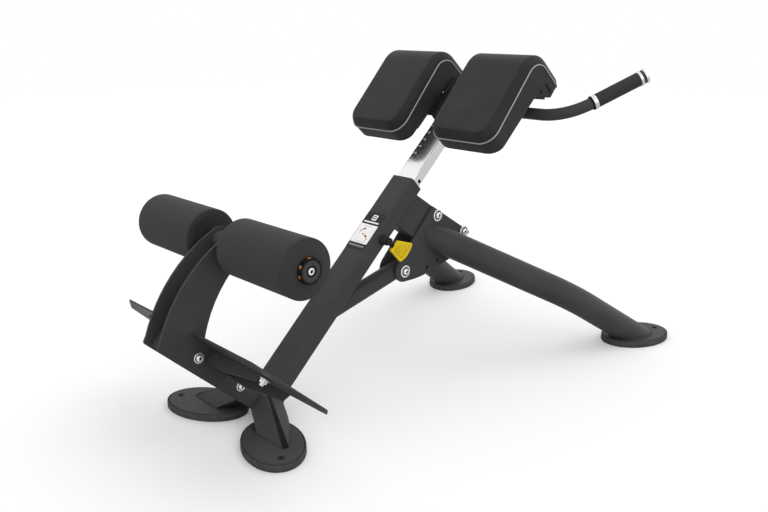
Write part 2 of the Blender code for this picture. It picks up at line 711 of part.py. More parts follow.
for label, b, a in BOLTS:
    cross_bolt("bracket_bolt_" + label, b, a, PLATE_OUTER, 0.0060, 0.0090)

finish("rear_spacer",
       turned_ring([(-STUB_HALF, 0.0064), (STUB_HALF, 0.0064),
                    (STUB_HALF, 0.0125), (-STUB_HALF, 0.0125)],
                   BOLTS[1][1:], 16), "frame", FIXED)

strut_dir = Vector((0, 0.1200, 0.2118)).normalized()
strut_low = Vector((0, TUBE_BACK + GAP, 0.3465))
strut_high = Vector((0, 0.1395, 0.5583)) + strut_dir * 0.0180
strut_path = [strut_low, strut_low.lerp(strut_high, 0.5), strut_high]


def strut_rings(radius):
    rings = []
    for k, point in enumerate(strut_path):
        across = Vector((1, 0, 0))
        up = strut_dir.cross(across).normalized()
        ring = [point + across * u + up * v for u, v in ellipse(radius, radius, 16)]
        if k == 0:
            face = Vector((0, 1, 0))
            ring = [p - strut_dir * ((p - point).dot(face) / strut_dir.dot(face))
                    for p in ring]
        rings.append(ring)
    return rings


strut = finish("strut", hollow(strut_rings(STRUT_RADIUS),
                               strut_rings(STRUT_RADIUS - STRUT_WALL)),
               "frame", FIXED)
drill = finish("strut_bolt_hole", turned([(-0.05, 0.0064), (0.05, 0.0064)],
                                         BOLTS[2][1:], sides=12), None, FIXED)
cut(strut, drill)

# Rear legs: oval tubes that splay out, then bend softly back down to the feet
leg_start, leg_bend, leg_end = Vector(LEG_START), Vector(LEG_BEND), Vector(LEG_END)
soft_in = leg_bend + (leg_start - leg_bend).normalized() * LEG_SOFT
soft_out = leg_bend + (leg_end - leg_bend).normalized() * LEG_SOFT
leg_path = [leg_start.lerp(soft_in, k / 3) for k in range(3)]
for k in range(6):
    leg_path.append(soft_in.lerp(leg_bend, k / 5).lerp(leg_bend.lerp(soft_out, k / 5), k / 5))
leg_path += [soft_out.lerp(leg_end, 0.5), leg_end]
for side, sign in SIDES:
    path = [Vector((sign * p.x, p.y, p.z)) for p in leg_path]
    first_face = Vector((1, 0, 0))
    last_face = Vector((0, 0, 1))
    outer = sweep(path, ellipse(LEG_HALF_WIDE, LEG_HALF_TALL, 20), first_face,
                  last_face)
    inner = sweep(path, ellipse(LEG_HALF_WIDE - LEG_WALL,
                                LEG_HALF_TALL - LEG_WALL, 20), first_face,
                  last_face)
    finish("rear_leg_" + side, hollow(outer, inner), "frame", FLOOR)

# Placard on the front of the main tube
finish("placard",
       prism(box_outline(TUBE_WIDTH / 2 - 0.0051, 0.5070, 0.6240, 0.0020, 2),
             TUBE_FRONT - GAP - 0.0008, TUBE_FRONT - GAP, "y"), "placard", FIXED)

# Pin housing, plunger pin and the yellow release lever
side_x = TUBE_WIDTH / 2
housing = finish("pin_housing",
                 turned([(side_x + GAP, HOUSING_RADIUS),
                         (side_x + GAP + HOUSING_LENGTH - 0.0015, HOUSING_RADIUS),
                         (side_x + GAP + HOUSING_LENGTH, HOUSING_RADIUS - 0.0015)],
                        (PIN_BACK, PIN_ALONG), sides=6), "plastic", FIXED,
                 smooth=0)
bore_cut = finish("pin_housing_bore",
                  turned([(side_x - 0.008, PIN_RADIUS + PIN_CLEARANCE),
                          (side_x + 0.042, PIN_RADIUS + PIN_CLEARANCE)],
                         (PIN_BACK, PIN_ALONG), sides=16), None, FIXED)
cut(housing, bore_cut)
lever_in = side_x + GAP + HOUSING_LENGTH + LEVER_OFFSET
finish("plunger_pin",
       turned([(PIN_TIP, PIN_RADIUS - 0.0012), (PIN_TIP + 0.0015, PIN_RADIUS),
               (lever_in - GAP, PIN_RADIUS)], (PIN_BACK, PIN_ALONG), sides=16),
       "zinc", PIN)
lever = fillet([(-0.0060, PIN_ALONG - 0.0070, 0.0050),
                (0.0190, PIN_ALONG - 0.0050, 0.0),
                (0.0204, 0.5527, 0.0020), (0.0731, 0.5526, 0.0030),
                (0.0800, 0.5700, 0.0), (0.0808, 0.5826, 0.0),
                (0.0790, 0.5988, 0.0), (0.0735, 0.6151, 0.0030),
                (0.0234, 0.5876, 0.0020), (0.0190, PIN_ALONG + 0.0050, 0.0),
                (-0.0060, PIN_ALONG + 0.0070, 0.0050)], 3)
finish("release_lever", prism(lever, lever_in, lever_in + LEVER_THICKNESS),
       "yellow", PIN, smooth=0, bevel=0.0012)

# Chrome post with its row of pin holes, and the glide at its lower end
post = finish("post",
              rect_tube(POST_WIDTH / 2, POST_FRONT, POST_BACK, POST_WALL,
                        POST_CORNER, POST_LOW, POST_TOP), "chrome", POST)
for k in range(-HOLES_BELOW, HOLES_ABOVE + 1):
    drill = finish("post_hole_%02d" % (k + HOLES_BELOW),
                   turned([(POST_WIDTH / 2 - 0.012, PIN_RADIUS + PIN_CLEARANCE),
                           (POST_WIDTH / 2 + 0.008, PIN_RADIUS + PIN_CLEARANCE)],
                          (PIN_BACK, PIN_ALONG + k * HOLE_PITCH), sides=12),
                   None, POST)
    cut(post, drill)
run_gap = TUBE_WALL + 0.0005
finish("post_glide",
       prism(box_outline(TUBE_WIDTH / 2 - run_gap, TUBE_FRONT + run_gap,
                         TUBE_BACK - run_gap, TUBE_CORNER - TUBE_WALL),
             POST_LOW - GAP - GLIDE_LENGTH, POST_LOW - GAP, "z"), "plastic", POST)

finish("post_cap",
       prism(box_outline(POST_WIDTH / 2, POST_FRONT, POST_BACK, POST_CORNER, 3),
             POST_TOP + GAP, POST_TOP + GAP + 0.0030, "z"), "plastic", POST)

# Cross plate on the post with two webs, and an angle support under each pad
cross_face = POST_FRONT - GAP
cross_plate = finish("pad_cross_plate",
                     prism(box_outline(CROSS_HALF, CROSS_LOW, CROSS_HIGH, 0.010, 3),
                           cross_face - CROSS_THICK, cross_face, "y"),
                     "frame", POST, bevel=0.0006)
support_face = cross_face - CROSS_THICK - GAP
board_face = BOARD_BACK + GAP
for side, sign in SIDES:
    x0, x1 = span(sign, PAD_INNER - GAP - CHEEK_THICK, PAD_INNER - GAP)
    cheek_back = BAR_BACK - BAR_RADIUS - 0.0010
    outline = fillet([(board_face, CHEEK_LOW, CHEEK_ROUND),
                      (cheek_back, CHEEK_LOW, CHEEK_ROUND),
                      (cheek_back, CHEEK_HIGH, 0.0040),
                      (board_face, CHEEK_HIGH, 0.0040)], 4)
    cheek = finish("cross_plate_web_" + side, prism(outline, x0, x1), None, POST)
    unite(cross_plate, cheek)
support_thick = support_face - board_face
under = Vector((BOARD_END_BACK - BOARD_BACK, BOARD_END - BOARD_KNEE)).normalized()
away = Vector((under.y, -under.x))


def under_point(along, depth):
    """Point (back, along) below the slanted underside of the short leg."""
    return Vector((BOARD_BACK, BOARD_KNEE)) + under * along + away * depth


def under_at(back, depth):
    """Where that line, at a depth, crosses a plane across the pads."""
    base = under_point(0, depth)
    return back, base.y + under.y * (back - base.x) / under.x


for side, sign in SIDES:
    x0, x1 = span(sign, PAD_INNER + 0.0070, PAD_OUTER - 0.0220)
    deep = GAP + support_thick
    angle = [(board_face, SUPPORT_LOW), under_at(board_face, GAP),
             tuple(under_point(SUPPORT_REACH, GAP)),
             tuple(under_point(SUPPORT_REACH, deep)),
             under_at(support_face, deep), (support_face, SUPPORT_LOW)]
    finish("pad_support_" + side, prism(angle, x0, x1), "frame", POST,
           bevel=0.0006)

# Handlebar behind the post, with rings, grips and end caps
def bar_point(u, v):
    return Vector((u, BAR_BACK + v * math.sin(BAR_TILT),
                   BAR_ALONG + v * math.cos(BAR_TILT)))


half_path = [(0.0, 0.0), (BAR_STRAIGHT, 0.0)]
for k in range(1, 8):
    t = BAR_ANGLE * k / 7
    half_path.append((BAR_STRAIGHT + BAR_BEND * math.sin(t),
                      BAR_BEND * (1 - math.cos(t))))
bend_end = half_path[-1]
out_u, out_v = math.cos(BAR_ANGLE), math.sin(BAR_ANGLE)
bar_length = 0.1330
half_path.append((bend_end[0] + out_u * bar_length,
                  bend_end[1] + out_v * bar_length))
flat = [(-u, v) for u, v in reversed(half_path[1:])] + half_path
bar_normal = Vector((0, math.cos(BAR_TILT), -math.sin(BAR_TILT)))


def bar_rings(radius):
    rings = []
    for k, (u, v) in enumerate(flat):
        a, b = flat[max(k - 1, 0)], flat[min(k + 1, len(flat) - 1)]
        ahead = (bar_point(*b) - bar_point(*a)).normalized()
        side = ahead.cross(bar_normal).normalized()
        rings.append([bar_point(u, v) + side * p + bar_normal * q
                      for p, q in ellipse(radius, radius, 14)])
    return rings


finish("handlebar", hollow(bar_rings(BAR_RADIUS), bar_rings(BAR_RADIUS - BAR_WALL)),
       "frame", POST)


def on_bar(sign, profile, sides, ring=True):
    """Turned piece about the straight end of the bar."""
    bm = bmesh.new()
    ahead = Vector((sign * out_u, out_v * math.sin(BAR_TILT),
                    out_v * math.cos(BAR_TILT)))
    root = bar_point(sign * bend_end[0], bend_end[1])
    side = ahead.cross(bar_normal).normalized()
    rings = []
    for i in range(sides):
        t = 2 * math.pi * i / sides
        d = side * math.cos(t) + bar_normal * math.sin(t)
        rings.append([root + ahead * w + d * r for w, r in profile])
    if ring:
        made = [[bm.verts.new(p) for p in row] for row in rings]
        count = len(profile)
        for i in range(sides):
            a, b = made[i], made[(i + 1) % sides]
            for k in range(count):
                m = (k + 1) % count
                bm.faces.new((a[k], a[m], b[m], b[k]))
        return bm
    bm.free()
    stations = [[rings[i][k] for i in range(sides)] for k in range(len(profile))]
    return loops_to_tube(stations)


slip = BAR_RADIUS + GAP
for side, sign in SIDES:
    finish("grip_ring_" + side,
           on_bar(sign, [(0.0044, slip), (0.0144, slip),
                         (0.0144, RING_RADIUS - 0.0008), (0.0136, RING_RADIUS),
                         (0.0054, RING_RADIUS), (0.0044, RING_RADIUS - 0.0010)],
                  20), "aluminium", POST)
    finish("grip_" + side,
           on_bar(sign, [(0.0147, slip), (0.1330, slip),
                         (0.1330, GRIP_RADIUS - 0.0008), (0.1320, GRIP_RADIUS),
                         (0.0157, GRIP_RADIUS), (0.0147, GRIP_RADIUS - 0.0008)],
                  20), "rubber", POST)
    finish("grip_end_cap_" + side,
           on_bar(sign, [(0.1333, RING_RADIUS - 0.0008), (0.1341, RING_RADIUS),
                         (0.1405, RING_RADIUS), (0.1410, GRIP_RADIUS - 0.0010),
                         (0.1480, GRIP_RADIUS - 0.0010), (0.1485, RING_RADIUS),
                         (0.1545, RING_RADIUS), (BAR_TAIL, RING_RADIUS - 0.0020)],
                  20, ring=False), "aluminium", POST)


# Thigh pads: a bent face with a rounded top and a short far leg
BEND_START = PAD_TOP_SEAM - PAD_BEND
LONG_RUN = BEND_START - PAD_LOW
BEND_RUN = PAD_BEND * math.pi / 2
SHORT_RUN = PAD_END - (PAD_SEAM + PAD_BEND)
FULL_RUN = LONG_RUN + BEND_RUN + SHORT_RUN


def lean(back, along):
    """Turn a point of the pads' own frame into the tilted frame."""
    c, d = math.cos(PAD_TILT), math.sin(PAD_TILT)
    u, v = back + 0.0900, along - PAD_PIVOT
    return c * u - d * v - 0.0900, d * u + c * v + PAD_PIVOT


def seam_point(s):
    """Point (back, along) on the seam path and its outward direction."""
    if s <= LONG_RUN:
        point, out = (PAD_SEAM, PAD_LOW + s), (-1.0, 0.0)
    elif s <= LONG_RUN + BEND_RUN:
        t = (s - LONG_RUN) / PAD_BEND
        point = (PAD_SEAM + PAD_BEND - PAD_BEND * math.cos(t),
                 BEND_START + PAD_BEND * math.sin(t))
        out = (-math.cos(t), math.sin(t))
    else:
        point = (PAD_SEAM + PAD_BEND + s - LONG_RUN - BEND_RUN, PAD_TOP_SEAM)
        out = (0.0, 1.0)
    c, d = math.cos(PAD_TILT), math.sin(PAD_TILT)
    return lean(*point), (c * out[0] - d * out[1], d * out[0] + c * out[1])


def crown_at(s):
    """Height of the cushion's face over the seam."""
    return PAD_CROWN - PAD_CROWN_DROP * min(s / LONG_RUN, 1.0)


def board_point(s):
    """Matching point on the inner L of the board."""
    knee = LONG_RUN + BEND_RUN / 2
    if s <= knee:
        return (BOARD_BACK, BOARD_LOW + (BOARD_KNEE - BOARD_LOW) * s / knee)
    t = (s - knee) / (FULL_RUN - knee)
    return (BOARD_BACK + (BOARD_END_BACK - BOARD_BACK) * t,
            BOARD_KNEE + (BOARD_END - BOARD_KNEE) * t)


def pad_grid():
    """Stations of the inner grid along the path and across the pad."""
    first, last = PAD_CORNER_LOW, FULL_RUN - PAD_CORNER_TOP
    count = 5
    along = [first + (LONG_RUN - first) * k / count for k in range(count + 1)]
    along += [LONG_RUN + BEND_RUN * k / 4 for k in range(1, 5)]
    along.append(last)
    return along, [-1.0, -0.6, -0.2, 0.2, 0.6, 1.0]


def pillow(place, insets, lower_level):
    """Closed body over the rounded pad outline.  place(s, x, d, level) gives
    a point; insets is a list of (inset, level) from the rim to the top."""
    bm = bmesh.new()
    along, across = pad_grid()
    half = (PAD_OUTER - PAD_INNER) / 2
    first, last = along[0], along[-1]

    def corner_radius(s):
        t = (s - first) / (last - first)
        return PAD_CORNER_LOW + (PAD_CORNER_TOP - PAD_CORNER_LOW) * t

    def grid(level_of):
        rows = []
        for s in along:
            reach = half - corner_radius(s)
            rows.append([bm.verts.new(place(s, reach * f, level_of(s, reach * f)))
                         for f in across])
        return rows

    def rim(inset, level):
        ring = []
        turns = 4
        low_r, top_r = PAD_CORNER_LOW, PAD_CORNER_TOP
        low_x, top_x = half - low_r, half - top_r
        for f in across[1:-1]:
            ring.append(("low", (first - low_r + inset, low_x * f)))
        for i in range(turns + 1):
            t = math.pi / 2 * i / turns
            ring.append(("c1", (first - (low_r - inset) * math.cos(t),
                                low_x + (low_r - inset) * math.sin(t))))
        for s in along[1:-1]:
            ring.append(("right", (s, half - inset)))
        for i in range(turns + 1):
            t = math.pi / 2 * i / turns
            ring.append(("c2", (last + (top_r - inset) * math.sin(t),
                                top_x + (top_r - inset) * math.cos(t))))
        for f in reversed(across[1:-1]):
            ring.append(("top", (last + top_r - inset, top_x * f)))
        for i in range(turns + 1):
            t = math.pi / 2 * i / turns
            ring.append(("c3", (last + (top_r - inset) * math.cos(t),
                                -top_x - (top_r - inset) * math.sin(t))))
        for s in reversed(along[1:-1]):
            ring.append(("left", (s, -half + inset)))
        for i in range(turns + 1):
            t = math.pi / 2 * i / turns
            ring.append(("c4", (first - (low_r - inset) * math.sin(t),
                                -low_x - (low_r - inset) * math.cos(t))))
        return [(tag, bm.verts.new(place(s, x, level))) for tag, (s, x) in ring]

    def join(ring, rows):
        """Skin between a rim and the edge of a grid."""
        edge = []
        for tag, _ in ring:
            edge.append(tag)
        n, m = len(rows), len(rows[0])
        picks = {"low": [rows[0][j] for j in range(1, m - 1)],
                 "right": [rows[i][m - 1] for i in range(1, n - 1)],
                 "top": [rows[n - 1][j] for j in range(m - 2, 0, -1)],
                 "left": [rows[i][0] for i in range(n - 2, 0, -1)],
                 "c1": rows[0][m - 1], "c2": rows[n - 1][m - 1],
                 "c3": rows[n - 1][0], "c4": rows[0][0]}
        seen = {}
        partner = []
        for tag in edge:
            if tag[0] == "c":
                partner.append(picks[tag])
            else:
                k = seen.get(tag, 0)
                partner.append(picks[tag][k])
                seen[tag] = k + 1
        count = len(ring)
        for i in range(count):
            j = (i + 1) % count
            a, b = ring[i][1], ring[j][1]
            if partner[i] is partner[j]:
                bm.faces.new((a, b, partner[i]))
            else:
                bm.faces.new((a, b, partner[j], partner[i]))
        for i in range(n - 1):
            for j in range(m - 1):
                bm.faces.new((rows[i][j], rows[i][j + 1], rows[i + 1][j + 1],
                              rows[i + 1][j]))

    rims = [rim(d, level) for d, level in insets]
    for a, b in zip(rims, rims[1:]):
        count = len(a)
        for i in range(count):
            j = (i + 1) % count
            bm.faces.new((a[i][1], a[j][1], b[j][1], b[i][1]))
    top_level = insets[-1][1]

    def crown(s, x):
        mid = (first + last) / 2
        u = (s - mid) / (last - mid)
        v = x / half
        return top_level + 0.06 * max(0.0, 1 - u * u) * max(0.0, 1 - v * v)

    join(rims[-1], grid(crown if top_level > 0 else lambda s, x: top_level))
    join(rims[0], grid(lambda s, x: lower_level))
    return bm


for side, sign in SIDES:
    mid_x = sign * (PAD_INNER + PAD_OUTER) / 2

    def on_cushion(s, x, level):
        (back, a), (nb, na) = seam_point(s)
        high = level * crown_at(s) + 0.0004
        return (mid_x + x, back + nb * high, a + na * high)

    finish("pad_cushion_" + side,
           pillow(on_cushion, [(0.0, 0.0), (0.0020, 0.23), (0.0080, 0.63),
                               (0.0140, 0.93), (0.0190, 1.0)], 0.0),
           "leather", POST, smooth=35)

    def on_board(s, x, level):
        (back, a), _ = seam_point(s)
        in_back, in_a = board_point(s)
        t = -level
        keep = 1 - (BOARD_DRAFT / ((PAD_OUTER - PAD_INNER) / 2)) * t
        return (mid_x + x * keep, back + (in_back - back) * t,
                a + (in_a - a) * t)

    finish("pad_board_" + side,
           pillow(on_board, [(0.0, 0.0), (0.0005, -0.5), (0.0, -1.0)], 0.0),
           "board", POST, smooth=50)
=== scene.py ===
"""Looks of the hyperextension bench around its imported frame: materials,
upholstery, fittings, a pale studio floor and the photograph's camera."""
import json
from math import cos, pi, radians, sin, tan

import bmesh
import bpy
from mathutils import Matrix, Vector


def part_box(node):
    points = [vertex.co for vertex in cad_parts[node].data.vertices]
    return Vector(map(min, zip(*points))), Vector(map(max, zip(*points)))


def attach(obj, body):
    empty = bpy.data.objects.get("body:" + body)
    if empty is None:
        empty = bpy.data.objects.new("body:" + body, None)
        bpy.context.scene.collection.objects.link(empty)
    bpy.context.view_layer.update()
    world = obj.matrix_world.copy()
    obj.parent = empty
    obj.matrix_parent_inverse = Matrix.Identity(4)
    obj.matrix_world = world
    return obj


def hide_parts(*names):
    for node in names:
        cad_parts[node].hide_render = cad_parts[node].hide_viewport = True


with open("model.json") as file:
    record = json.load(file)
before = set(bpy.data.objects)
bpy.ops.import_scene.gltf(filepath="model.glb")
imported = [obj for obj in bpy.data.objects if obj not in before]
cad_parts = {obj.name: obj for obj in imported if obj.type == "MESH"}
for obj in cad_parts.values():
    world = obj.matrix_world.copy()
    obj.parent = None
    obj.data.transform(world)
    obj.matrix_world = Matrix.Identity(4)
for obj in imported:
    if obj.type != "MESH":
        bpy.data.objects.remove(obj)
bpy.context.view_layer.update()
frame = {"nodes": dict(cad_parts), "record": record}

NODES = frame["nodes"]
BODY_OF = {node: body for body, nodes in frame["record"]["behaviour"]["bodies"].items()
           for node in nodes}
SIDES = (("left", -1), ("right", 1))

# The tilted frame holds (x, back, along), measured square to and along the main tube
TILT = radians(43.36)
SHIFT_Y = -0.5170
TURN = Matrix.Translation((0, SHIFT_Y, 0)) @ Matrix.Rotation(TILT - pi / 2, 4, "X")
LEVEL = Matrix.Identity(4)


def extent(node, turn=TURN):
    """Lowest and highest corner of a CAD node in the tilted frame."""
    back = turn.inverted()
    spots = [back @ v.co for v in NODES[node].data.vertices]
    return (Vector([min(p[k] for p in spots) for k in range(3)]),
            Vector([max(p[k] for p in spots) for k in range(3)]))


def middle(node, turn=TURN):
    low, high = extent(node, turn)
    return (low + high) / 2


# Mesh tools

EDGE_ANGLE = radians(35.0)
WELD_STEP = 0.0011


def new_object(name, data):
    obj = bpy.data.objects.new(name, data)
    bpy.context.scene.collection.objects.link(obj)
    return obj


def soften(mesh, degrees):
    mesh.shade_smooth()
    mesh.set_sharp_from_angle(angle=radians(degrees))


def piece(name, bm, look, like, turn=TURN, smooth=35.0, replaces=True):
    """Link a mesh piece, dress it and let it ride like a CAD node."""
    bmesh.ops.recalc_face_normals(bm, faces=bm.faces)
    bm.transform(turn)
    mesh = bpy.data.meshes.new(name)
    bm.to_mesh(mesh)
    bm.free()
    soften(mesh, smooth)
    mesh.materials.append(LOOKS[look])
    obj = new_object(name, mesh)
    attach(obj, BODY_OF[like])
    if replaces:
        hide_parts(like)
    return obj


def bevel(obj, width, segments=3):
    mod = obj.modifiers.new("edge", "BEVEL")
    mod.width = width
    mod.segments = segments
    mod.limit_method = "ANGLE"
    mod.angle_limit = EDGE_ANGLE
    mod.harden_normals = True


def round_off(corners, steps):
    """Closed outline through (u, v, radius) corners, each rounded by its radius."""
    outline = []
    for k, (u, v, radius) in enumerate(corners):
        if radius <= 0:
            outline.append((u, v))
            continue
        here = Vector((u, v))
        before = (Vector(corners[k - 1][:2]) - here).normalized()
        after = (Vector(corners[(k + 1) % len(corners)][:2]) - here).normalized()
        half = before.angle(after) / 2
        centre = here + (before + after).normalized() * (radius / sin(half))
        start = here + before * (radius / tan(half)) - centre
        stop = here + after * (radius / tan(half)) - centre
        turn = start.angle_signed(stop)
        for i in range(steps + 1):
            c, s = cos(-turn * i / steps), sin(-turn * i / steps)
            outline.append((centre.x + start.x * c - start.y * s,
                            centre.y + start.x * s + start.y * c))
    return outline


def turns(sides):
    """Angles round a full circle."""
    return [2 * pi * i / sides for i in range(sides)]


def quarter(steps):
    """Angles over a quarter of a circle, without its start."""
    return [pi / 2 * k / steps for k in range(1, steps + 1)]


def ellipse(long, short, sides):
    return [(long * cos(t), short * sin(t)) for t in turns(sides)]


def hexagon(u, v, radius, fillet, phase, steps):
    """Six-sided outline with rounded corners."""
    return round_off([(u + radius * cos(t + phase), v + radius * sin(t + phase),
                       fillet) for t in turns(6)], steps)


def skin(rows, loop=False, caps=False):
    """Quads between closed rows of points; the last row may meet the first."""
    bm = bmesh.new()
    made = [[bm.verts.new(p) for p in row] for row in rows]
    for a, b in zip(made, made[1:] + (made[:1] if loop else [])):
        for i in range(len(a)):
            j = (i + 1) % len(a)
            bm.faces.new((a[i], a[j], b[j], b[i]))
    if caps:
        bm.faces.new(list(reversed(made[0])))
        bm.faces.new(made[-1])
    return bm


def prism(outline, low, high, axis="x"):
    """Extrude an outline along one axis."""
    order = {"x": lambda u, v, w: (w, u, v), "y": lambda u, v, w: (u, w, v),
             "z": lambda u, v, w: (u, v, w)}[axis]
    return skin([[order(u, v, w) for u, v in outline] for w in (low, high)], caps=True)


def lathe(profile, axis, sides, loop=False):
    """Turned skin; axis(w, r, angle) gives a point."""
    rows = [[axis(w, r, t) for t in turns(sides)] for w, r in profile]
    return skin(rows, loop=loop, caps=not loop)


def turned(name, profile, axis, sides, look, like, **options):
    """Turned piece whose profile closes on itself."""
    return piece(name, lathe(profile, axis, sides, loop=True), look, like, **options)


def tube(start, stop, inner, outer):
    """Square profile for a turned ring."""
    return [(start, inner), (stop, inner), (stop, outer), (start, outer)]


def about_x(spot, sign=1):
    """Axis along x through a spot, counted outwards on the side of the sign."""
    return lambda w, r, t: (w * sign, spot[1] + r * cos(t), spot[2] + r * sin(t))


def about_z(x, y):
    return lambda w, r, t: (x + r * cos(t), y + r * sin(t), w)


def across(sign, low, high):
    """Range along x on the side of the sign."""
    return sorted((sign * low, sign * high))


def sweep(path, section, first=None, last=None, up=Vector((0, 0, 1))):
    """Rows of a section along a path; an end row may lie in a given plane."""
    rows = []
    for k, point in enumerate(path):
        ahead = (path[min(k + 1, len(path) - 1)] - path[max(k - 1, 0)]).normalized()
        side = ahead.cross(up).normalized()
        above = side.cross(ahead)
        row = [point + side * u + above * v for u, v in section]
        plane = first if k == 0 else last if k == len(path) - 1 else None
        if plane is not None:
            row = [p - ahead * ((p - point).dot(plane) / ahead.dot(plane)) for p in row]
        rows.append(row)
    return rows


def weld(name, ring, like, radius):
    """Rippled bead along a closed line of world points."""
    fine = []
    for i, point in enumerate(ring):
        a, b = Vector(point), Vector(ring[(i + 1) % len(ring)])
        steps = max(1, round((b - a).length / WELD_STEP))
        fine += [a.lerp(b, k / steps) for k in range(steps)]
    rows = []
    for i, point in enumerate(fine):
        ahead = (fine[(i + 1) % len(fine)] - fine[i - 1]).normalized()
        side = ahead.cross(Vector((0.3, 0.5, 0.81))).normalized()
        above = side.cross(ahead)
        r = radius * (0.86 + 0.20 * sin(i * 1.9))
        rows.append([point + side * r * cos(t) + above * r * sin(t)
                     for t in turns(8)])
    piece(name, skin(rows, loop=True), "frame", like, LEVEL, 60.0, replaces=False)


# Materials

class Look:
    """A Principled material whose detail comes from noise nodes."""

    def __init__(self, name, colour, rough, metal=0.0, shine=0.5):
        self.mat = bpy.data.materials.new(name)
        self.mat.use_nodes = True
        self.mat.diffuse_color = (*colour, 1.0)
        self.tree = self.mat.node_tree
        self.shader = self.tree.nodes["Principled BSDF"]
        self.colour = colour
        self.set("Base Color", (*colour, 1.0))
        self.set("Roughness", rough)
        self.set("Metallic", metal)
        self.set("Specular IOR Level", shine)
        self.coords = self.node("ShaderNodeTexCoord").outputs["Object"]

    def set(self, socket, value):
        self.shader.inputs[socket].default_value = value

    def node(self, kind, **values):
        """Add a node and set its sockets, whose names have _ for a space."""
        made = self.tree.nodes.new(kind)
        for key, value in values.items():
            made.inputs[key.replace("_", " ")].default_value = value
        return made

    def link(self, out, into):
        self.tree.links.new(out, into)

    def noise(self, scale, detail=2.0, rough=0.5, stretch=None):
        made = self.node("ShaderNodeTexNoise", Scale=scale, Detail=detail, Roughness=rough)
        source = self.coords
        if stretch:
            mapping = self.node("ShaderNodeMapping", Scale=stretch)
            self.link(self.coords, mapping.inputs["Vector"])
            source = mapping.outputs["Vector"]
        self.link(source, made.inputs["Vector"])
        return made.outputs["Fac"]

    def grain(self, scale, smooth):
        """Soft cells, as in grained hide."""
        made = self.node("ShaderNodeTexVoronoi", Scale=scale)
        made.feature = "SMOOTH_F1"
        made.inputs["Smoothness"].default_value = smooth
        self.link(self.coords, made.inputs["Vector"])
        return made.outputs["Distance"]

    def spread(self, fac, low, high, start=0.3, stop=0.7):
        """Map a factor to a range of plain numbers."""
        made = self.node("ShaderNodeMapRange", From_Min=start, From_Max=stop,
                         To_Min=low, To_Max=high)
        self.link(fac, made.inputs["Value"])
        return made.outputs["Result"]

    def tint(self, fac, first, second, start=0.3, stop=0.7):
        """Colour the surface between two colours, as a factor says."""
        made = self.node("ShaderNodeValToRGB")
        ramp = made.color_ramp.elements
        ramp[0].position, ramp[1].position = start, stop
        ramp[0].color, ramp[1].color = (*first, 1), (*second, 1)
        self.link(fac, made.inputs["Fac"])
        self.link(made.outputs["Color"], self.shader.inputs["Base Color"])

    def mottle(self, fac, low, high):
        """Vary the colour between two shares of itself."""
        self.tint(fac, [c * low for c in self.colour], [c * high for c in self.colour])

    def rough(self, fac, low, high):
        self.link(self.spread(fac, low, high), self.shader.inputs["Roughness"])

    def bump(self, height, depth, strength):
        made = self.node("ShaderNodeBump", Distance=depth, Strength=strength)
        self.link(height, made.inputs["Height"])
        self.link(made.outputs["Normal"], self.shader.inputs["Normal"])


def paint_look():
    look = Look("paint", (0.0560, 0.0560, 0.0568), 0.42, shine=0.09)
    cloud = look.noise(9.0, 3.0)
    look.mottle(cloud, 0.90, 1.10)
    look.rough(cloud, 0.36, 0.46)
    look.bump(look.noise(1500.0), 0.00010, 0.6)
    return look.mat


def leather_look(name, base):
    look = Look(name, base, 0.55, shine=0.10)
    look.mottle(look.noise(14.0, 4.0), 0.88, 1.12)
    look.rough(look.noise(900.0, 3.0), 0.48, 0.62)
    look.bump(look.grain(900.0, 0.4), 0.00025, 0.5)
    look.set("Sheen Weight", 0.05)
    return look.mat


def foam_look():
    look = Look("foam", (0.0385, 0.0385, 0.0390), 0.85, shine=0.12)
    speck = look.noise(1100.0, 4.0, 0.7)
    look.mottle(speck, 0.72, 1.30)
    look.bump(speck, 0.0004, 0.6)
    look.set("Sheen Weight", 0.08)
    return look.mat


def rubber_look():
    look = Look("rubber", (0.0640, 0.0640, 0.0640), 0.62, shine=0.12)
    look.mottle(look.noise(60.0, 3.0), 0.85, 1.2)
    look.bump(look.noise(700.0), 0.0002, 0.4)
    return look.mat


def plastic_look():
    look = Look("plastic", (0.0120, 0.0120, 0.0124), 0.38, shine=0.25)
    look.rough(look.noise(120.0, 3.0), 0.32, 0.44)
    look.bump(look.noise(1800.0), 0.0001, 0.4)
    return look.mat


def chrome_look():
    look = Look("chrome", (0.90, 0.90, 0.90), 0.16, 1.0)
    look.rough(look.noise(400.0, stretch=(1.0, 1.0, 0.02)), 0.12, 0.20)
    return look.mat


def zinc_look():
    look = Look("zinc", (0.72, 0.72, 0.70), 0.22, 1.0)
    cloud = look.noise(260.0, 3.0)
    look.mottle(cloud, 0.88, 1.06)
    look.rough(cloud, 0.18, 0.30)
    return look.mat


def aluminium_look():
    look = Look("aluminium", (0.78, 0.78, 0.76), 0.24, 1.0)
    look.rough(look.noise(900.0), 0.18, 0.30)
    return look.mat


def yellow_look():
    look = Look("yellow", (0.74, 0.52, 0.004), 0.40, shine=0.20)
    look.mottle(look.noise(45.0, 3.0), 0.92, 1.06)
    look.bump(look.noise(1500.0), 0.0001, 0.4)
    return look.mat


def plain_look(name, base, rough, shine=0.5, grain=1200.0, metal=0.0):
    """Even finish with a fine grain."""
    look = Look(name, base, rough, metal, shine)
    cloud = look.noise(35.0, 3.0)
    look.mottle(cloud, 0.93, 1.06)
    look.rough(cloud, rough * 0.9, rough * 1.1)
    look.bump(look.noise(grain), 0.00008, 0.4)
    return look.mat


LOOKS = {"frame": paint_look(),
         "leather": leather_look("leather", (0.0320, 0.0320, 0.0325)),
         # band: the same leather, darker, as painted shade on the cushion's side band
         "band": leather_look("band", (0.0255, 0.0255, 0.0260)),
         "foam": foam_look(), "rubber": rubber_look(), "plastic": plastic_look(),
         "chrome": chrome_look(), "zinc": zinc_look(), "aluminium": aluminium_look(),
         "yellow": yellow_look()}
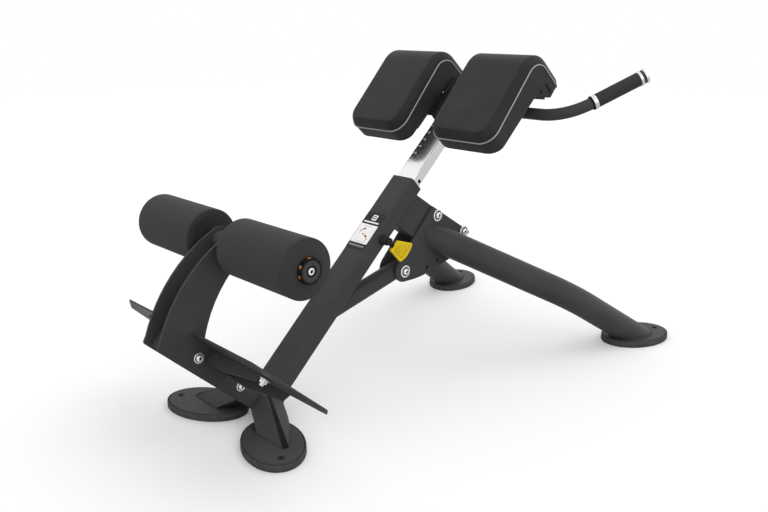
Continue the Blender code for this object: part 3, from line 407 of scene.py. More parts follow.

# Colour, roughness, shine, scale of the grain and metal
# The first two are darker and lighter copies of the lever's yellow: painted shade on its ridges
# and a painted highlight on its rim.
PLAIN_LOOKS = {"yellow_shade": ((0.47, 0.32, 0.010), 0.45, 0.20),
               "rim": ((0.92, 0.66, 0.010), 0.40, 0.20),
               "piping": ((0.360, 0.350, 0.310), 0.60),
               "grip": ((0.038, 0.038, 0.039), 0.62, 0.12, 900.0),
               "bright": ((0.97, 0.97, 0.96), 0.22, 0.50, 500.0, 0.45),
               "dark": ((0.0060, 0.0060, 0.0062), 0.60, 0.12),
               "shadow": ((0.0200, 0.0200, 0.0203), 0.60, 0.12),
               "orange": ((0.60, 0.17, 0.010), 0.55),
               "ink": ((0.030, 0.030, 0.032), 0.45, 0.12),
               "card": ((0.97, 0.97, 0.97), 0.45),
               "grey_ink": ((0.22, 0.22, 0.22), 0.45),
               "red_ink": ((0.70, 0.015, 0.015), 0.45),
               "orange_ink": ((0.75, 0.24, 0.060), 0.45)}
LOOKS.update({name: plain_look(name, *finish) for name, finish in PLAIN_LOOKS.items()})

# The CAD nodes that stay in view and aren't painted like the frame
NODE_LOOKS = {"pad_cross_plate": "shadow", "post": "chrome", "post_cap": "plastic",
              "post_guide": "plastic", "post_glide": "plastic", "plunger_pin": "zinc"}

for name, obj in NODES.items():
    for slot in obj.material_slots:
        slot.material = LOOKS[NODE_LOOKS.get(name, "frame")]


# Thigh pads

PAD_LEAN = radians(6.0)
PAD_PIVOT = (-0.0900, 1.0000)
PAD_IN = extent("pad_cushion_right")[0].x
PAD_OUT = extent("pad_cushion_right")[1].x
PAD_HALF = (PAD_OUT - PAD_IN) / 2
PAD_MID = (PAD_OUT + PAD_IN) / 2
SEAM_TOP = 1.1248             # seam line of the short top leg
SEAM_FACE = -0.0955           # seam line of the long face
SEAM_IN = 0.0012              # sewn edge of the cushion and its shell, in from the rim
PIPING_OUT = 0.0002
PIPING_RADIUS = 0.0018
PAD_LENGTH = 0.2711
PAD_BEND = 0.0478
PAD_END = 0.0340
CROWN = 0.0290
CROWN_DROP = 0.0062
SWELL_CAP = 0.0008
CORNER_LOW = 0.0425
CORNER_TOP = 0.0180
CREASE_SIDE = 0.0164          # crease of the face, in from the seam
CREASE_END = 0.0147
CREASE_SOFT = 0.0016
BOARD_BACK = -0.0340
BOARD_LOW = SEAM_TOP - PAD_LENGTH + 0.0043
BOARD_KNEE = SEAM_TOP - 0.0682
BOARD_END = (0.0205, SEAM_TOP - 0.0208)
BOARD_EDGE = 0.0040
BEND_FROM = SEAM_TOP - PAD_BEND
LONG_RUN = PAD_LENGTH - PAD_BEND
BEND_RUN = PAD_BEND * pi / 2
FULL_RUN = LONG_RUN + BEND_RUN + PAD_END - (SEAM_FACE + PAD_BEND)
SAME_SPOT = 0.00002

# Share of the way in to the crease, and share of the crown's height
BAND = ((0.0, 0.0), (0.04, 0.12), (0.10, 0.25), (0.20, 0.40), (0.34, 0.55), (0.52, 0.70),
        (0.76, 0.86), (1.0, 0.985))
BASE_ROWS = (1.0, 0.7, 0.4, 0.15)
FACE_ROWS = 15
CORNER_STEPS = 10


def lean(back, along):
    """Turn a point (back, along) about the pads' pivot."""
    c, s = cos(PAD_LEAN), sin(PAD_LEAN)
    u, v = back - PAD_PIVOT[0], along - PAD_PIVOT[1]
    return c * u - s * v + PAD_PIVOT[0], s * u + c * v + PAD_PIVOT[1]


def seam_point(s):
    """Point (back, along) on the seam path and its outward direction."""
    if s <= LONG_RUN:
        point, turn = (SEAM_FACE, SEAM_TOP - PAD_LENGTH + s), 0.0
    elif s <= LONG_RUN + BEND_RUN:
        turn = (s - LONG_RUN) / PAD_BEND
        point = (SEAM_FACE + PAD_BEND * (1 - cos(turn)),
                 BEND_FROM + PAD_BEND * sin(turn))
    else:
        point, turn = (SEAM_FACE + PAD_BEND + s - LONG_RUN - BEND_RUN, SEAM_TOP), pi / 2
    turn -= PAD_LEAN
    return lean(*point), (-cos(turn), sin(turn))


def pad_rim(side_in, end_in):
    """Points (s, x) round the pad outline, drawn in from its rim."""
    low, top = CORNER_LOW, CORNER_TOP
    low_x, top_x = PAD_HALF - low, PAD_HALF - top

    def corner(s, x, radius, first):
        angles = [pi / 2 * (first + i / CORNER_STEPS) for i in range(CORNER_STEPS + 1)]
        return [(s - (radius - end_in) * cos(t), x + (radius - side_in) * sin(t))
                for t in angles]

    sides = [k / (5 * CORNER_STEPS) for k in range(1, 5 * CORNER_STEPS)]
    ends = [k / CORNER_STEPS for k in range(1, 2 * CORNER_STEPS)]
    rim = corner(low, low_x, low, 0)
    rim += [(low + (FULL_RUN - top - low) * f, PAD_HALF - side_in) for f in sides]
    rim += corner(FULL_RUN - top, top_x, top, 1)
    rim += [(FULL_RUN - end_in, top_x * (1 - f)) for f in ends]
    rim += corner(FULL_RUN - top, -top_x, top, 2)
    rim += [(low + (FULL_RUN - top - low) * (1 - f), side_in - PAD_HALF) for f in sides]
    rim += corner(low, -low_x, low, 3)
    rim += [(end_in, low_x * (f - 1)) for f in ends]
    return rim


def drawn_in(rim, share):
    """Rim shrunk towards the line down the middle of the pad."""
    first, last = PAD_HALF, FULL_RUN - PAD_HALF
    return [(s + (min(max(s, first), last) - s) * share, x * (1 - share)) for s, x in rim]


def crown_at(s):
    return CROWN - CROWN_DROP * min(max(s, 0.0) / LONG_RUN, 1.0)


def cushion(side, sign):
    """Sewn cushion: a bulging band from the seam to the crease of a flat face."""
    def row(rim, level):
        spots = []
        for s, x in rim:
            (back, along), (nb, na) = seam_point(s)
            high = level * crown_at(s) + 0.0002
            spots.append((sign * PAD_MID + x, back + nb * high, along + na * high))
        return spots

    rows = [row(drawn_in(pad_rim(SEAM_IN, SEAM_IN), share), 0.0) for share in BASE_ROWS]
    for share, level in BAND:
        rows.append(row(pad_rim(SEAM_IN + share * (CREASE_SIDE - SEAM_IN),
                                share * CREASE_END), level))
    inner = pad_rim(CREASE_SIDE + CREASE_SOFT, CREASE_END + CREASE_SOFT)
    rows.append(row(inner, 1.004))
    rows += [row(drawn_in(inner, k / FACE_ROWS), 1.006) for k in range(1, FACE_ROWS + 1)]

    bm = skin(rows)
    around = len(inner)
    seam, crease = len(BASE_ROWS), len(BASE_ROWS) + len(BAND)
    bm.faces.ensure_lookup_table()
    # The band rows take the darker band leather: painted shade.
    for face in bm.faces[(seam - 1) * around:(crease - 1) * around]:
        face.material_index = 1
    obj = piece("cushion_" + side, bm, "leather", "pad_cushion_" + side, smooth=60.0)
    mesh = obj.data
    mesh.materials.append(LOOKS["band"])
    held = [number * around + i for number in (*range(seam + 1), crease - 1, crease)
            for i in range(around)]
    obj.vertex_groups.new(name="held").add(held, 1.0, "REPLACE")
    swell(obj)
    joined = bmesh.new()
    joined.from_mesh(mesh)
    bmesh.ops.remove_doubles(joined, verts=joined.verts, dist=SAME_SPOT)
    bmesh.ops.recalc_face_normals(joined, faces=joined.faces)
    joined.to_mesh(mesh)
    joined.free()
    soften(mesh, 24)


def swell(obj):
    """Blow a cushion up as cloth under pressure, its seams held, then cap the rise."""
    mod = obj.modifiers.new("cloth", "CLOTH")
    cloth = mod.settings
    cloth.quality = 6
    cloth.mass = 0.4
    cloth.use_pressure = True
    cloth.uniform_pressure_force = 4.0
    cloth.tension_stiffness = cloth.compression_stiffness = 30
    cloth.bending_stiffness = 2.0
    cloth.vertex_group_mass = "held"
    cloth.effector_weights.gravity = 0
    mod.collision_settings.use_collision = False
    scene = bpy.context.scene
    rest = [v.co.copy() for v in obj.data.vertices]
    for number in range(1, 21):
        scene.frame_set(number)
    shaped = obj.evaluated_get(bpy.context.evaluated_depsgraph_get())
    moved = [v.co.copy() for v in shaped.data.vertices]
    obj.modifiers.remove(mod)
    scene.frame_set(1)
    for vertex, before, after in zip(obj.data.vertices, rest, moved):
        shift = after - before
        if shift.length > SWELL_CAP:
            shift *= SWELL_CAP / shift.length
        vertex.co = before + shift
    obj.data.update()


def piping(side, sign):
    """Cord sewn into the seam between the cushion and its shell."""
    path, outward = [], []
    for s, x in pad_rim(-PIPING_OUT, -PIPING_OUT):
        spot, normal = seam_point(s)
        path.append(Vector((sign * PAD_MID + x, *spot)))
        outward.append(Vector((0, *normal)))
    rows = []
    for i, (point, out) in enumerate(zip(path, outward)):
        ahead = (path[(i + 1) % len(path)] - path[i - 1]).normalized()
        beside = ahead.cross(out).normalized()
        rows.append([point + (beside * cos(t) + out * sin(t)) * PIPING_RADIUS
                     for t in turns(10)])
    piece("piping_" + side, skin(rows, loop=True), "piping", "pad_cushion_" + side,
          smooth=180.0)


def board_inner(s):
    """Matching point on the inner line of the shell."""
    knee = LONG_RUN + BEND_RUN / 2
    if s <= knee:
        return BOARD_BACK, BOARD_LOW + (BOARD_KNEE - BOARD_LOW) * s / knee
    t = (s - knee) / (FULL_RUN - knee)
    return (BOARD_BACK + (BOARD_END[0] - BOARD_BACK) * t,
            BOARD_KNEE + (BOARD_END[1] - BOARD_KNEE) * t)


def shell(side, sign):
    """Upholstered shell under the cushion, with rounded rims."""
    def row(rim, t):
        spots = []
        for s, x in rim:
            (back, along), _ = seam_point(s)
            in_back, in_along = board_inner(s)
            spots.append((sign * PAD_MID + x * (1 - 0.014 * t), back + (in_back - back) * t,
                          along + (in_along - along) * t))
        return spots

    rows = [row(drawn_in(pad_rim(SEAM_IN, SEAM_IN), k), 0.004) for k in (1.0, 0.6, 0.3, 0.0)]
    rows += [row(pad_rim(inset, inset), t) for inset, t in
             ((0.0004, 0.03), (0.0, 0.12), (0.0, 0.5), (0.0, 0.90), (0.0006, 0.955),
              (0.0020, 0.99), (BOARD_EDGE, 1.0))]
    rows += [row(drawn_in(pad_rim(BOARD_EDGE, BOARD_EDGE), k), 1.0)
             for k in (0.25, 0.5, 0.75, 1.0)]
    bm = skin(rows)
    bmesh.ops.remove_doubles(bm, verts=bm.verts, dist=SAME_SPOT)
    piece("shell_" + side, bm, "leather", "pad_board_" + side, smooth=40.0)


for side, sign in SIDES:
    cushion(side, sign)
    piping(side, sign)
    shell(side, sign)


# Ankle rollers

AXLE = middle("roller_axle")
ROLLER_LOW, ROLLER_HIGH = extent("foam_roller_right")
ROLLER_RADIUS = (ROLLER_HIGH.y - ROLLER_LOW.y) / 2
ROLLER_OUT = ROLLER_HIGH.x + 0.0140
ROLLER_RIM = ROLLER_OUT - 0.0062
HUB_OUT = ROLLER_OUT + 0.0110
HUB_IN = extent("roller_hub_right")[0].x
BORE = 0.0212
INNER_FILLET = 0.0040
OUTER_FILLET = 0.0032
HUB_REACH = 0.0300            # where the domed end meets the hub
ROD_RADIUS = 0.0080


def roller(side, sign):
    """Foam sleeve with a grooved inner end and a gently domed outer end."""
    inn, rim, r = ROLLER_LOW.x, ROLLER_RIM, ROLLER_RADIUS
    groove = r * 0.875
    profile = [(inn, BORE), (inn, groove - 0.0012), (inn + 0.0007, groove - 0.0004),
               (inn + 0.0007, groove + 0.0004), (inn, groove + 0.0012), (inn, r - INNER_FILLET)]
    profile += [(inn + INNER_FILLET * (1 - cos(t)), r - INNER_FILLET * (1 - sin(t)))
                for t in quarter(8)]
    start, stop = inn + INNER_FILLET, rim - OUTER_FILLET
    profile += [(start + (stop - start) * k / 11, r) for k in range(1, 12)]
    profile += [(rim - OUTER_FILLET * (1 - sin(t)), r - OUTER_FILLET * (1 - cos(t)))
                for t in quarter(6)]
    edge = r - OUTER_FILLET
    for k in range(1, 8):
        profile.append((rim + (ROLLER_OUT - rim) * sin(pi / 2 * k / 7),
                        edge - (edge - HUB_REACH) * k / 7))
    profile.append((ROLLER_OUT, BORE))
    obj = turned("foam_" + side, profile, about_x(AXLE, sign), 96, "foam",
                 "foam_roller_" + side, smooth=25.0)


def hub(side, sign):
    """Hub with a notched dark flange, a face disc and three marks on its side."""
    node = "roller_hub_" + side
    axis = about_x(AXLE, sign)
    inn, out, face = ROLLER_LOW.x, ROLLER_OUT + 0.0003, HUB_OUT

    def notched(w, r, t):
        cut = w > out + 0.0027 and r > 0.0260 and (t * 4 / pi) % 1.0 < 0.17
        return axis(w, r - (0.0018 if cut else 0.0), t)

    body = [(HUB_IN, 0.0084), (HUB_IN, 0.0145), (HUB_IN + 0.0005, 0.0150),
            (inn - 0.0033, 0.0150), (inn - 0.0033, 0.0540), (inn - 0.0023, 0.0550),
            (inn - 0.0008, 0.0550), (inn - 0.0003, 0.0545), (inn - 0.0003, BORE - 0.0003),
            (out, BORE - 0.0003), (out, 0.0240),
            (face - 0.0012, 0.0240), (face - 0.0003, 0.0234), (face - 0.0001, 0.0222),
            (face - 0.0001, 0.0120), (face - 0.0006, 0.0112), (face - 0.0045, 0.0110),
            (face - 0.0045, 0.0084)]
    turned("hub_" + side, body, axis, 72, "ink", node, smooth=30.0)
    flange = [(out, 0.0241), (face - 0.0004, 0.0241), (face - 0.0004, 0.0268),
              (face - 0.0012, 0.0276), (out + 0.0029, 0.0276), (out + 0.0025, 0.0278),
              (out, 0.0278)]
    turned("hub_flange_" + side, flange, notched, 96, "dark", node, smooth=30.0)
    disc = [(face - 0.0010, 0.0126), (face + 0.0003, 0.0126), (face + 0.0004, 0.0132),
            (face + 0.0004, 0.0208), (face + 0.0002, 0.0214), (face - 0.0010, 0.0214)]
    turned("hub_face_" + side, disc, axis, 72, "frame", node, smooth=30.0)
    # Dark ring in the mouth of the recess round the axle head: painted shade.
    recess = [(face - 0.0012, 0.0084), (face + 0.0002, 0.0086), (face + 0.0002, 0.0114),
              (face - 0.0012, 0.0116)]
    turned("hub_recess_" + side, recess, axis, 48, "dark", node)
    for k, at in enumerate((140, 198, 242)):
        arc = [[axis(w, r, radians(at - 7 + 14 * i / 6))
                for w, r in tube(out + 0.0032, out + 0.0085, 0.0270, 0.0279)]
               for i in range(7)]
        piece("hub_mark_%s_%d" % (side, k), skin(arc, caps=True), "orange", node,
              replaces=False)


def socket_head(axis, profile, socket, depth, sides=48):
    """Button head with a six-sided socket in its crown."""
    half = pi / 6
    top = profile[-1][0]
    rows = [[axis(w, r, t) for t in turns(sides)] for w, r in profile]
    for w, grow in ((top, 1.06), (top - 0.0004, 1.0), (top - depth, 1.0)):
        rows.append([axis(w, grow * socket / cos((t + half) % (2 * half) - half), t)
                     for t in turns(sides)])
    return skin(rows, caps=True)


def axle():
    """Rod through both rollers, with a socket head at each end."""
    end = HUB_OUT + 0.0012
    profile = [(end - 0.0145, ROD_RADIUS), (end - 0.0062, ROD_RADIUS), (end - 0.0052, 0.0084),
               (end - 0.0028, 0.0082), (end - 0.0010, 0.0074), (end - 0.0001, 0.0058)]
    for side, sign in SIDES:
        axis = about_x(AXLE, sign)
        piece("axle_head_" + side, socket_head(axis, profile, 0.0036, 0.0040), "bright",
              "roller_axle", smooth=28.0)
        # Dark ring deep in the socket: painted shade.
        turned("axle_socket_" + side, tube(end - 0.0044, end - 0.0016, 0.0008, 0.0034), axis,
               24, "dark", "roller_axle")
    reach = HUB_OUT - 0.0060
    rod = lathe([(-reach, ROD_RADIUS), (reach, ROD_RADIUS)], about_x(AXLE), 40)
    piece("axle_rod", rod, "bright", "roller_axle")


for side, sign in SIDES:
    roller(side, sign)
    hub(side, sign)
axle()


# Bolts

BOLT_RADIUS = 0.0050
HEAD_DEPTH = 0.0085           # washer and head, at each end of a cross bolt
WASHER = 0.0023


def cross_bolt(node, head, wide):
    """Shaft with a washer and a socket button head at both ends."""
    spot = middle(node)
    face = extent(node)[1].x - HEAD_DEPTH
    seat = face + WASHER
    washer = [(face, head * 0.6), (face, wide - 0.0004), (face + 0.0003, wide),
              (face + 0.0019, wide), (seat, wide - 0.0005), (seat, head * 0.6)]
    crown = [(seat, head * 0.58), (seat, head - 0.0003), (seat + 0.0004, head)]
    for k in range(6):
        t = pi / 2 * (0.10 + 0.62 * k / 6)
        crown.append((seat + 0.0064 * sin(t), head * cos(t) ** 0.65))
    crown.append((face + 0.0082, head * 0.60))
    # The dark ring round the head on the washer and the dark core in the socket are painted
    # shade.
    ring = tube(face + 0.0020, face + 0.0027, head + 0.0001, head + (wide - head) * 0.45)
    core = tube(face + 0.0040, face + 0.0062, 0.0006, head * 0.38)
    for side, sign in SIDES:
        axis = about_x(spot, sign)
        turned("%s_washer_%s" % (node, side), washer, axis, 56, "bright", node, smooth=28.0)
        piece("%s_head_%s" % (node, side), socket_head(axis, crown, head * 0.40, 0.0040),
              "bright", node, smooth=28.0)
        turned("%s_ring_%s" % (node, side), ring, axis, 32, "dark", node)
        turned("%s_core_%s" % (node, side), core, axis, 32, "dark", node)
    shaft = lathe([(-face, BOLT_RADIUS), (face, BOLT_RADIUS)], about_x(spot), 24)
    piece(node + "_shaft", shaft, "bright", node)


def tread_bolt(side):
    """Bolt through the foot plate: button head above, washer and nut below."""
    node = "foot_plate_bolt_" + side
    low, high = extent(node)
    x, y = (low.x + high.x) / 2 * 1.016, (low.y + high.y) / 2
    axis = about_z(x, y)
    over = high.z - 0.0050
    under = low.z + 0.0150
    shaft = [(low.z, 0.0040), (low.z + 0.0010, BOLT_RADIUS)]
    for k in range(9):
        w = low.z + 0.0015 + 0.0036 * k / 8
        shaft += [(w, BOLT_RADIUS), (w + 0.0002, 0.0045)]
    shaft += [(under, BOLT_RADIUS), (over, BOLT_RADIUS)]
    piece("tread_shaft_" + side, lathe(shaft, axis, 28), "bright", node, smooth=20.0)
    washer = [(under, 0.0056), (under, 0.0111), (under - 0.0003, 0.0115),
              (under - 0.0017, 0.0115), (under - 0.0020, 0.0111), (under - 0.0020, 0.0056)]
    turned("tread_washer_" + side, washer, axis, 48, "bright", node)
    nut = prism(hexagon(x, y, 0.0096, 0.0012, 0.3, 3), under - 0.0092, under - 0.0022, "z")
    bevel(piece("tread_nut_" + side, nut, "bright", node), 0.0007, 2)
    crown = [(over, 0.0055), (over, 0.0093), (over + 0.0006, 0.0095), (over + 0.0030, 0.0090),
             (over + 0.0044, 0.0076), (over + 0.0050, 0.0060)]
    piece("tread_head_" + side, socket_head(axis, crown, 0.0033, 0.0026), "bright", node)


for node in ("arm_bolt_front", "arm_bolt_rear"):
    cross_bolt(node, 0.0085, 0.0124)
for node in ("bracket_bolt_upper", "bracket_bolt_rear", "bracket_bolt_lower"):
    cross_bolt(node, 0.0096, 0.0170)
for side, sign in SIDES:
    tread_bolt(side)


# Handlebar

BAR_RADIUS = 0.0155
BAR_STRAIGHT = 0.2515
BAR_BEND = 0.1379
BAR_ANGLE = radians(57.1)
BAR_LEAN = radians(11.36)
BAR_RUN = 0.1330
BAR_BACK = extent("handlebar")[0].y + BAR_RADIUS
BAR_ALONG = extent("handlebar")[0].z + BAR_RADIUS
BAR_NORMAL = Vector((0, cos(BAR_LEAN), -sin(BAR_LEAN)))
RING_RADIUS = 0.0195
GRIP_RADIUS = 0.0180
SLIP_RADIUS = BAR_RADIUS + 0.0003


def bar_point(u, v):
    return Vector((u, BAR_BACK + v * sin(BAR_LEAN), BAR_ALONG + v * cos(BAR_LEAN)))


def bend_point(t):
    """Point (u, v) on the bar's bend, at an angle from its straight middle."""
    return BAR_STRAIGHT + BAR_BEND * sin(t), BAR_BEND * (1 - cos(t))


BEND_END = bend_point(BAR_ANGLE)


def handlebar():
    half = [(0.0, 0.0), (BAR_STRAIGHT * 0.5, 0.0), (BAR_STRAIGHT, 0.0)]
    half += [bend_point(BAR_ANGLE * k / 24) for k in range(1, 25)]
    half.append((BEND_END[0] + BAR_RUN * cos(BAR_ANGLE),
                 BEND_END[1] + BAR_RUN * sin(BAR_ANGLE)))
    path = [bar_point(-u, v) for u, v in reversed(half[1:])] + [bar_point(u, v) for u, v in half]
    rows = sweep(path, ellipse(BAR_RADIUS, BAR_RADIUS, 40), up=BAR_NORMAL)
    piece("bar", skin(rows, caps=True), "frame", "handlebar", smooth=50.0)


def about_grip(sign):
    """Axis along a grip, counted from the end of the bend."""
    ahead = Vector((sign * cos(BAR_ANGLE), sin(BAR_ANGLE) * sin(BAR_LEAN),
                    sin(BAR_ANGLE) * cos(BAR_LEAN)))
    root = bar_point(sign * BEND_END[0], BEND_END[1])
    side = ahead.cross(BAR_NORMAL).normalized()
    return lambda w, r, t: (root + ahead * w
                            + (side * cos(t) + BAR_NORMAL * sin(t)) * r)


def grips(side, sign):
    """Bushing, grooved ring, sleeve and end cap, from the bend outwards."""
    axis = about_grip(sign)
    slip, ring, grip = SLIP_RADIUS, RING_RADIUS, GRIP_RADIUS
    bush = [(-0.0004, slip), (-0.0004, ring - 0.0014), (0.0002, ring - 0.0008),
            (0.0026, ring - 0.0008), (0.0026, slip)]
    turned("ring_bush_" + side, bush, axis, 48, "dark", "grip_ring_" + side)
    band = [(0.0029, slip), (0.0029, ring - 0.0008), (0.0034, ring - 0.0002), (0.0040, ring),
            (0.0078, ring), (0.0081, ring - 0.0006), (0.0086, ring - 0.0006), (0.0089, ring),
            (0.0128, ring), (0.0134, ring - 0.0003), (0.0136, ring - 0.0008), (0.0136, slip)]
    turned("ring_" + side, band, axis, 56, "aluminium", "grip_ring_" + side)
    sleeve = [(0.0147, slip), (0.0147, grip - 0.0012), (0.0152, grip - 0.0004)]
    sleeve += [(0.0162 + 0.1156 * k / 10, grip) for k in range(11)]
    sleeve += [(0.1326, grip - 0.0004), (0.1330, grip - 0.0012), (0.1330, slip)]
    obj = turned("grip_sleeve_" + side, sleeve, axis, 56, "grip", "grip_" + side)
    node = "grip_end_cap_" + side
    inner = [(0.1333, slip), (0.1333, ring - 0.0009), (0.1341, ring), (0.1402, ring),
             (0.1408, ring - 0.0005), (0.1408, slip)]
    turned("cap_ring_" + side, inner, axis, 56, "aluminium", node)
    turned("cap_groove_" + side, tube(0.1408, 0.1482, slip, grip - 0.0010), axis, 56, "rubber",
           node)
    cap = [(0.1482, 0.0050), (0.1482, ring - 0.0006), (0.1488, ring), (0.1538, ring),
           (0.1550, ring - 0.0004), (0.1557, ring - 0.0012), (0.1560, ring - 0.0026),
           (0.1560, 0.0060), (0.1552, 0.0050)]
    piece("cap_" + side, lathe(cap, axis, 56), "aluminium", node)


handlebar()
for side, sign in SIDES:
    grips(side, sign)


# Rear legs and feet

PLATE_OUT = extent("bracket_plate_right")[1].x
FOOT_LONG = 0.1110
FOOT_SHORT = {"front": 0.0735, "rear": 0.0790}
FOOT_TURN = {"front": radians(-24.0), "rear": radians(71.4)}
FOOT_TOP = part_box("front_foot_pad_right")[1].z
STEEL_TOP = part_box("rear_foot_plate_right")[1].z
HOLE_REACH = 0.0800
LEG_LONG = 0.0465
LEG_SHORT = 0.0387
LEG_START = Vector((PLATE_OUT + 0.0003, 0.6460 + SHIFT_Y, 0.3440))
LEG_BEND = Vector((0.3047, 0.9092 + SHIFT_Y, 0.1763))
LEG_END = Vector((0.3723, 1.1483 + SHIFT_Y, STEEL_TOP + 0.0003))
LEG_SOFT = 0.0700


def rear_leg(side, sign):
    """Oval tube with one soft bend; rows that would cross its slanted ends are left out."""
    before = LEG_BEND + (LEG_START - LEG_BEND).normalized() * LEG_SOFT
    after = LEG_BEND + (LEG_END - LEG_BEND).normalized() * LEG_SOFT
    line = [LEG_START.lerp(before, k / 12) for k in (0, *range(2, 12))]
    for k in range(17):
        t = k / 16
        line.append(before.lerp(LEG_BEND, t).lerp(LEG_BEND.lerp(after, t), t))
    line += [after.lerp(LEG_END, k / 10) for k in (*range(1, 8), 10)]
    path = [Vector((sign * p.x, p.y, p.z)) for p in line]
    rows = sweep(path, ellipse(LEG_LONG, LEG_SHORT, 64), Vector((1, 0, 0)), Vector((0, 0, 1)))
    node = "rear_leg_" + side
    piece("leg_" + side, skin(rows, caps=True), "frame", node, LEVEL, 50.0)
    weld("leg_weld_" + side, rows[0], node, 0.0026)
    weld("leg_foot_weld_" + side, rows[-1], node, 0.0024)


def foot(end, side, sign):
    """Oval rubber foot with a lip round its steel plate, and rings round the plate's holes."""
    name = "%s_%s" % (end, side)
    spot = middle("%s_foot_pad_right" % end, LEVEL)
    c, s = cos(FOOT_TURN[end]), sin(FOOT_TURN[end])

    def oval(inset, z):
        return [(sign * (spot.x + u * c - v * s), spot.y + u * s + v * c, z)
                for u, v in ellipse(FOOT_LONG - inset, FOOT_SHORT[end] - inset, 96)]

    top = FOOT_TOP
    profile = [(0.0022, 0.0), (0.0008, 0.0004), (0.0, 0.0016), (0.0003, top + 0.0030),
               (0.0007, top + 0.0044), (0.0016, top + 0.0050), (0.0028, top + 0.0050),
               (0.0035, top + 0.0042), (0.0037, top), (0.0120, top)]
    piece("foot_rubber_" + name, skin([oval(d, z) for d, z in profile], caps=True), "rubber",
          "%s_foot_pad_%s" % (end, side), LEVEL, 40.0)
    ring = [(STEEL_TOP - 0.0004, 0.0060), (STEEL_TOP + 0.0003, 0.0064),
            (STEEL_TOP + 0.0003, 0.0086), (STEEL_TOP - 0.0004, 0.0090)]
    for mark, reach in (("outer", HOLE_REACH), ("inner", -HOLE_REACH)):
        axis = about_z(sign * (spot.x + reach * c), spot.y + reach * s)
        turned("foot_ring_%s_%s" % (name, mark), ring, axis, 40, "shadow",
               "%s_foot_plate_%s" % (end, side), turn=LEVEL, replaces=False)


for side, sign in SIDES:
    rear_leg(side, sign)
    foot("front", side, sign)
    foot("rear", side, sign)


# Pin housing and release lever

PIN = middle("plunger_pin")
LEVER_LOW, LEVER_HIGH = extent("release_lever")
LEVER_FACE = LEVER_HIGH.x - 0.0012
LEVER_EDGE = 0.0012


def pin_housing():
    low, high = extent("pin_housing")
    body = prism(hexagon(PIN.y, PIN.z, 0.0125, 0.0030, 0.0, 5), low.x, high.x)
    bevel(piece("housing", body, "ink", "pin_housing"), 0.0014)
    collar = [(low.x, 0.0054), (low.x, 0.0138), (low.x + 0.0004, 0.0143),
              (low.x + 0.0016, 0.0143), (low.x + 0.0020, 0.0138), (low.x + 0.0020, 0.0054)]
    turned("housing_collar", collar, about_x(PIN), 48, "ink", "pin_housing")


def lever():
    """Flat grip with a raised rim and V ridges, between a dark root and a knob."""
    root = round_off([(-0.0060, PIN.z - 0.0070, 0.0050), (0.0215, PIN.z - 0.0050, 0.0),
                      (0.0225, PIN.z + 0.0050, 0.0), (-0.0060, PIN.z + 0.0070, 0.0050)], 6)
    body = round_off([(0.0204, 0.5527, 0.0020), (0.0731, 0.5526, 0.0030),
                      (0.0800, 0.5700, 0.005), (0.0808, 0.5826, 0.0),
                      (0.0790, 0.5988, 0.0), (0.0735, 0.6151, 0.0030),
                      (0.0234, 0.5876, 0.0020)], 6)
    for name, outline, look in (("lever_root", root, "dark"), ("lever", body, "yellow")):
        bevel(piece(name, prism(outline, LEVER_LOW.x, LEVER_FACE), look, "release_lever"),
              LEVER_EDGE)
    lever_rim(round_off([(0.0212, 0.5537, 0.0015), (0.0725, 0.5537, 0.0030),
                         (0.0793, 0.5710, 0.012), (0.0800, 0.5826, 0.012),
                         (0.0782, 0.5985, 0.012), (0.0731, 0.6136, 0.0030),
                         (0.0240, 0.5868, 0.0015)], 5))
    for k, line in enumerate((((0.0290, 0.5620), (0.0650, 0.5620), (0.0680, 0.6010)),
                              ((0.0275, 0.5690), (0.0535, 0.5690), (0.0560, 0.5955)),
                              ((0.0270, 0.5755), (0.0420, 0.5755), (0.0440, 0.5895)))):
        ridge(k, [Vector(p) for p in line])
    knob = prism(hexagon(PIN.y, PIN.z, 0.0112, 0.0020, 0.2, 4), LEVER_LOW.x - 0.0006,
                 LEVER_HIGH.x)
    bevel(piece("lever_knob", knob, "shadow", "release_lever"), LEVER_EDGE)


def lever_rim(outline):
    """Raised edge that follows the outline of the grip, painted lighter than the yellow as a
    highlight.
    """
    face = LEVER_FACE
    rows = []
    for i, spot in enumerate(outline):
        a, b = Vector(outline[i - 1]), Vector(outline[(i + 1) % len(outline)])
        p = Vector(spot)
        q = p + Vector(((a - b).y, (b - a).x)).normalized() * 0.0030
        crest = p * 0.7 + q * 0.3
        rows.append([(face - 0.0003, *p), (face + 0.0009, *p), (face + 0.0012, *crest),
                     (face + 0.0009, *q), (face - 0.0003, *q)])
    piece("lever_rim", skin(rows, loop=True), "rim", "release_lever")


def ridge(number, line):
    """Raised line on the face of the grip, painted darker than the yellow as shade."""
    rows = []
    for i, p in enumerate(line):
        a, b = line[max(i - 1, 0)], line[min(i + 1, len(line) - 1)]
        side = Vector(((b - a).y, (a - b).x)).normalized() * 0.0014
        rows.append([(LEVER_FACE - 0.0002, *(p - side)), (LEVER_FACE + 0.0009, *p),
                     (LEVER_FACE - 0.0002, *(p + side))])
    piece("lever_ridge_%d" % number, skin(rows, caps=True), "yellow_shade", "release_lever")


pin_housing()
lever()


# Placard and scale

PLACARD_LOW, PLACARD_HIGH = extent("placard")
POST_LOW = extent("post")[0]
LAYER = 0.00006
FIGURE_SIZE = 0.0105
SCALE_START = 0.7350
SCALE_STEP = 0.0245


def patch(name, outline, look, level, like="placard", front=PLACARD_LOW.y):
    """Thin printed shape on a front face."""
    piece(name, prism(outline, front - LAYER * level, front + 0.0002, "y"), look, like,
          replaces=False)


def box_shape(x, a, wide, high, radius, turn=0.0):
    c, s = cos(turn), sin(turn)
    corners = [(-wide / 2, -high / 2), (wide / 2, -high / 2), (wide / 2, high / 2),
               (-wide / 2, high / 2)]
    return round_off([(x + u * c - v * s, a + u * s + v * c, radius) for u, v in corners], 4)


def disc_shape(x, a, radius):
    return [(x + u, a + v) for u, v in ellipse(radius, radius, 28)]


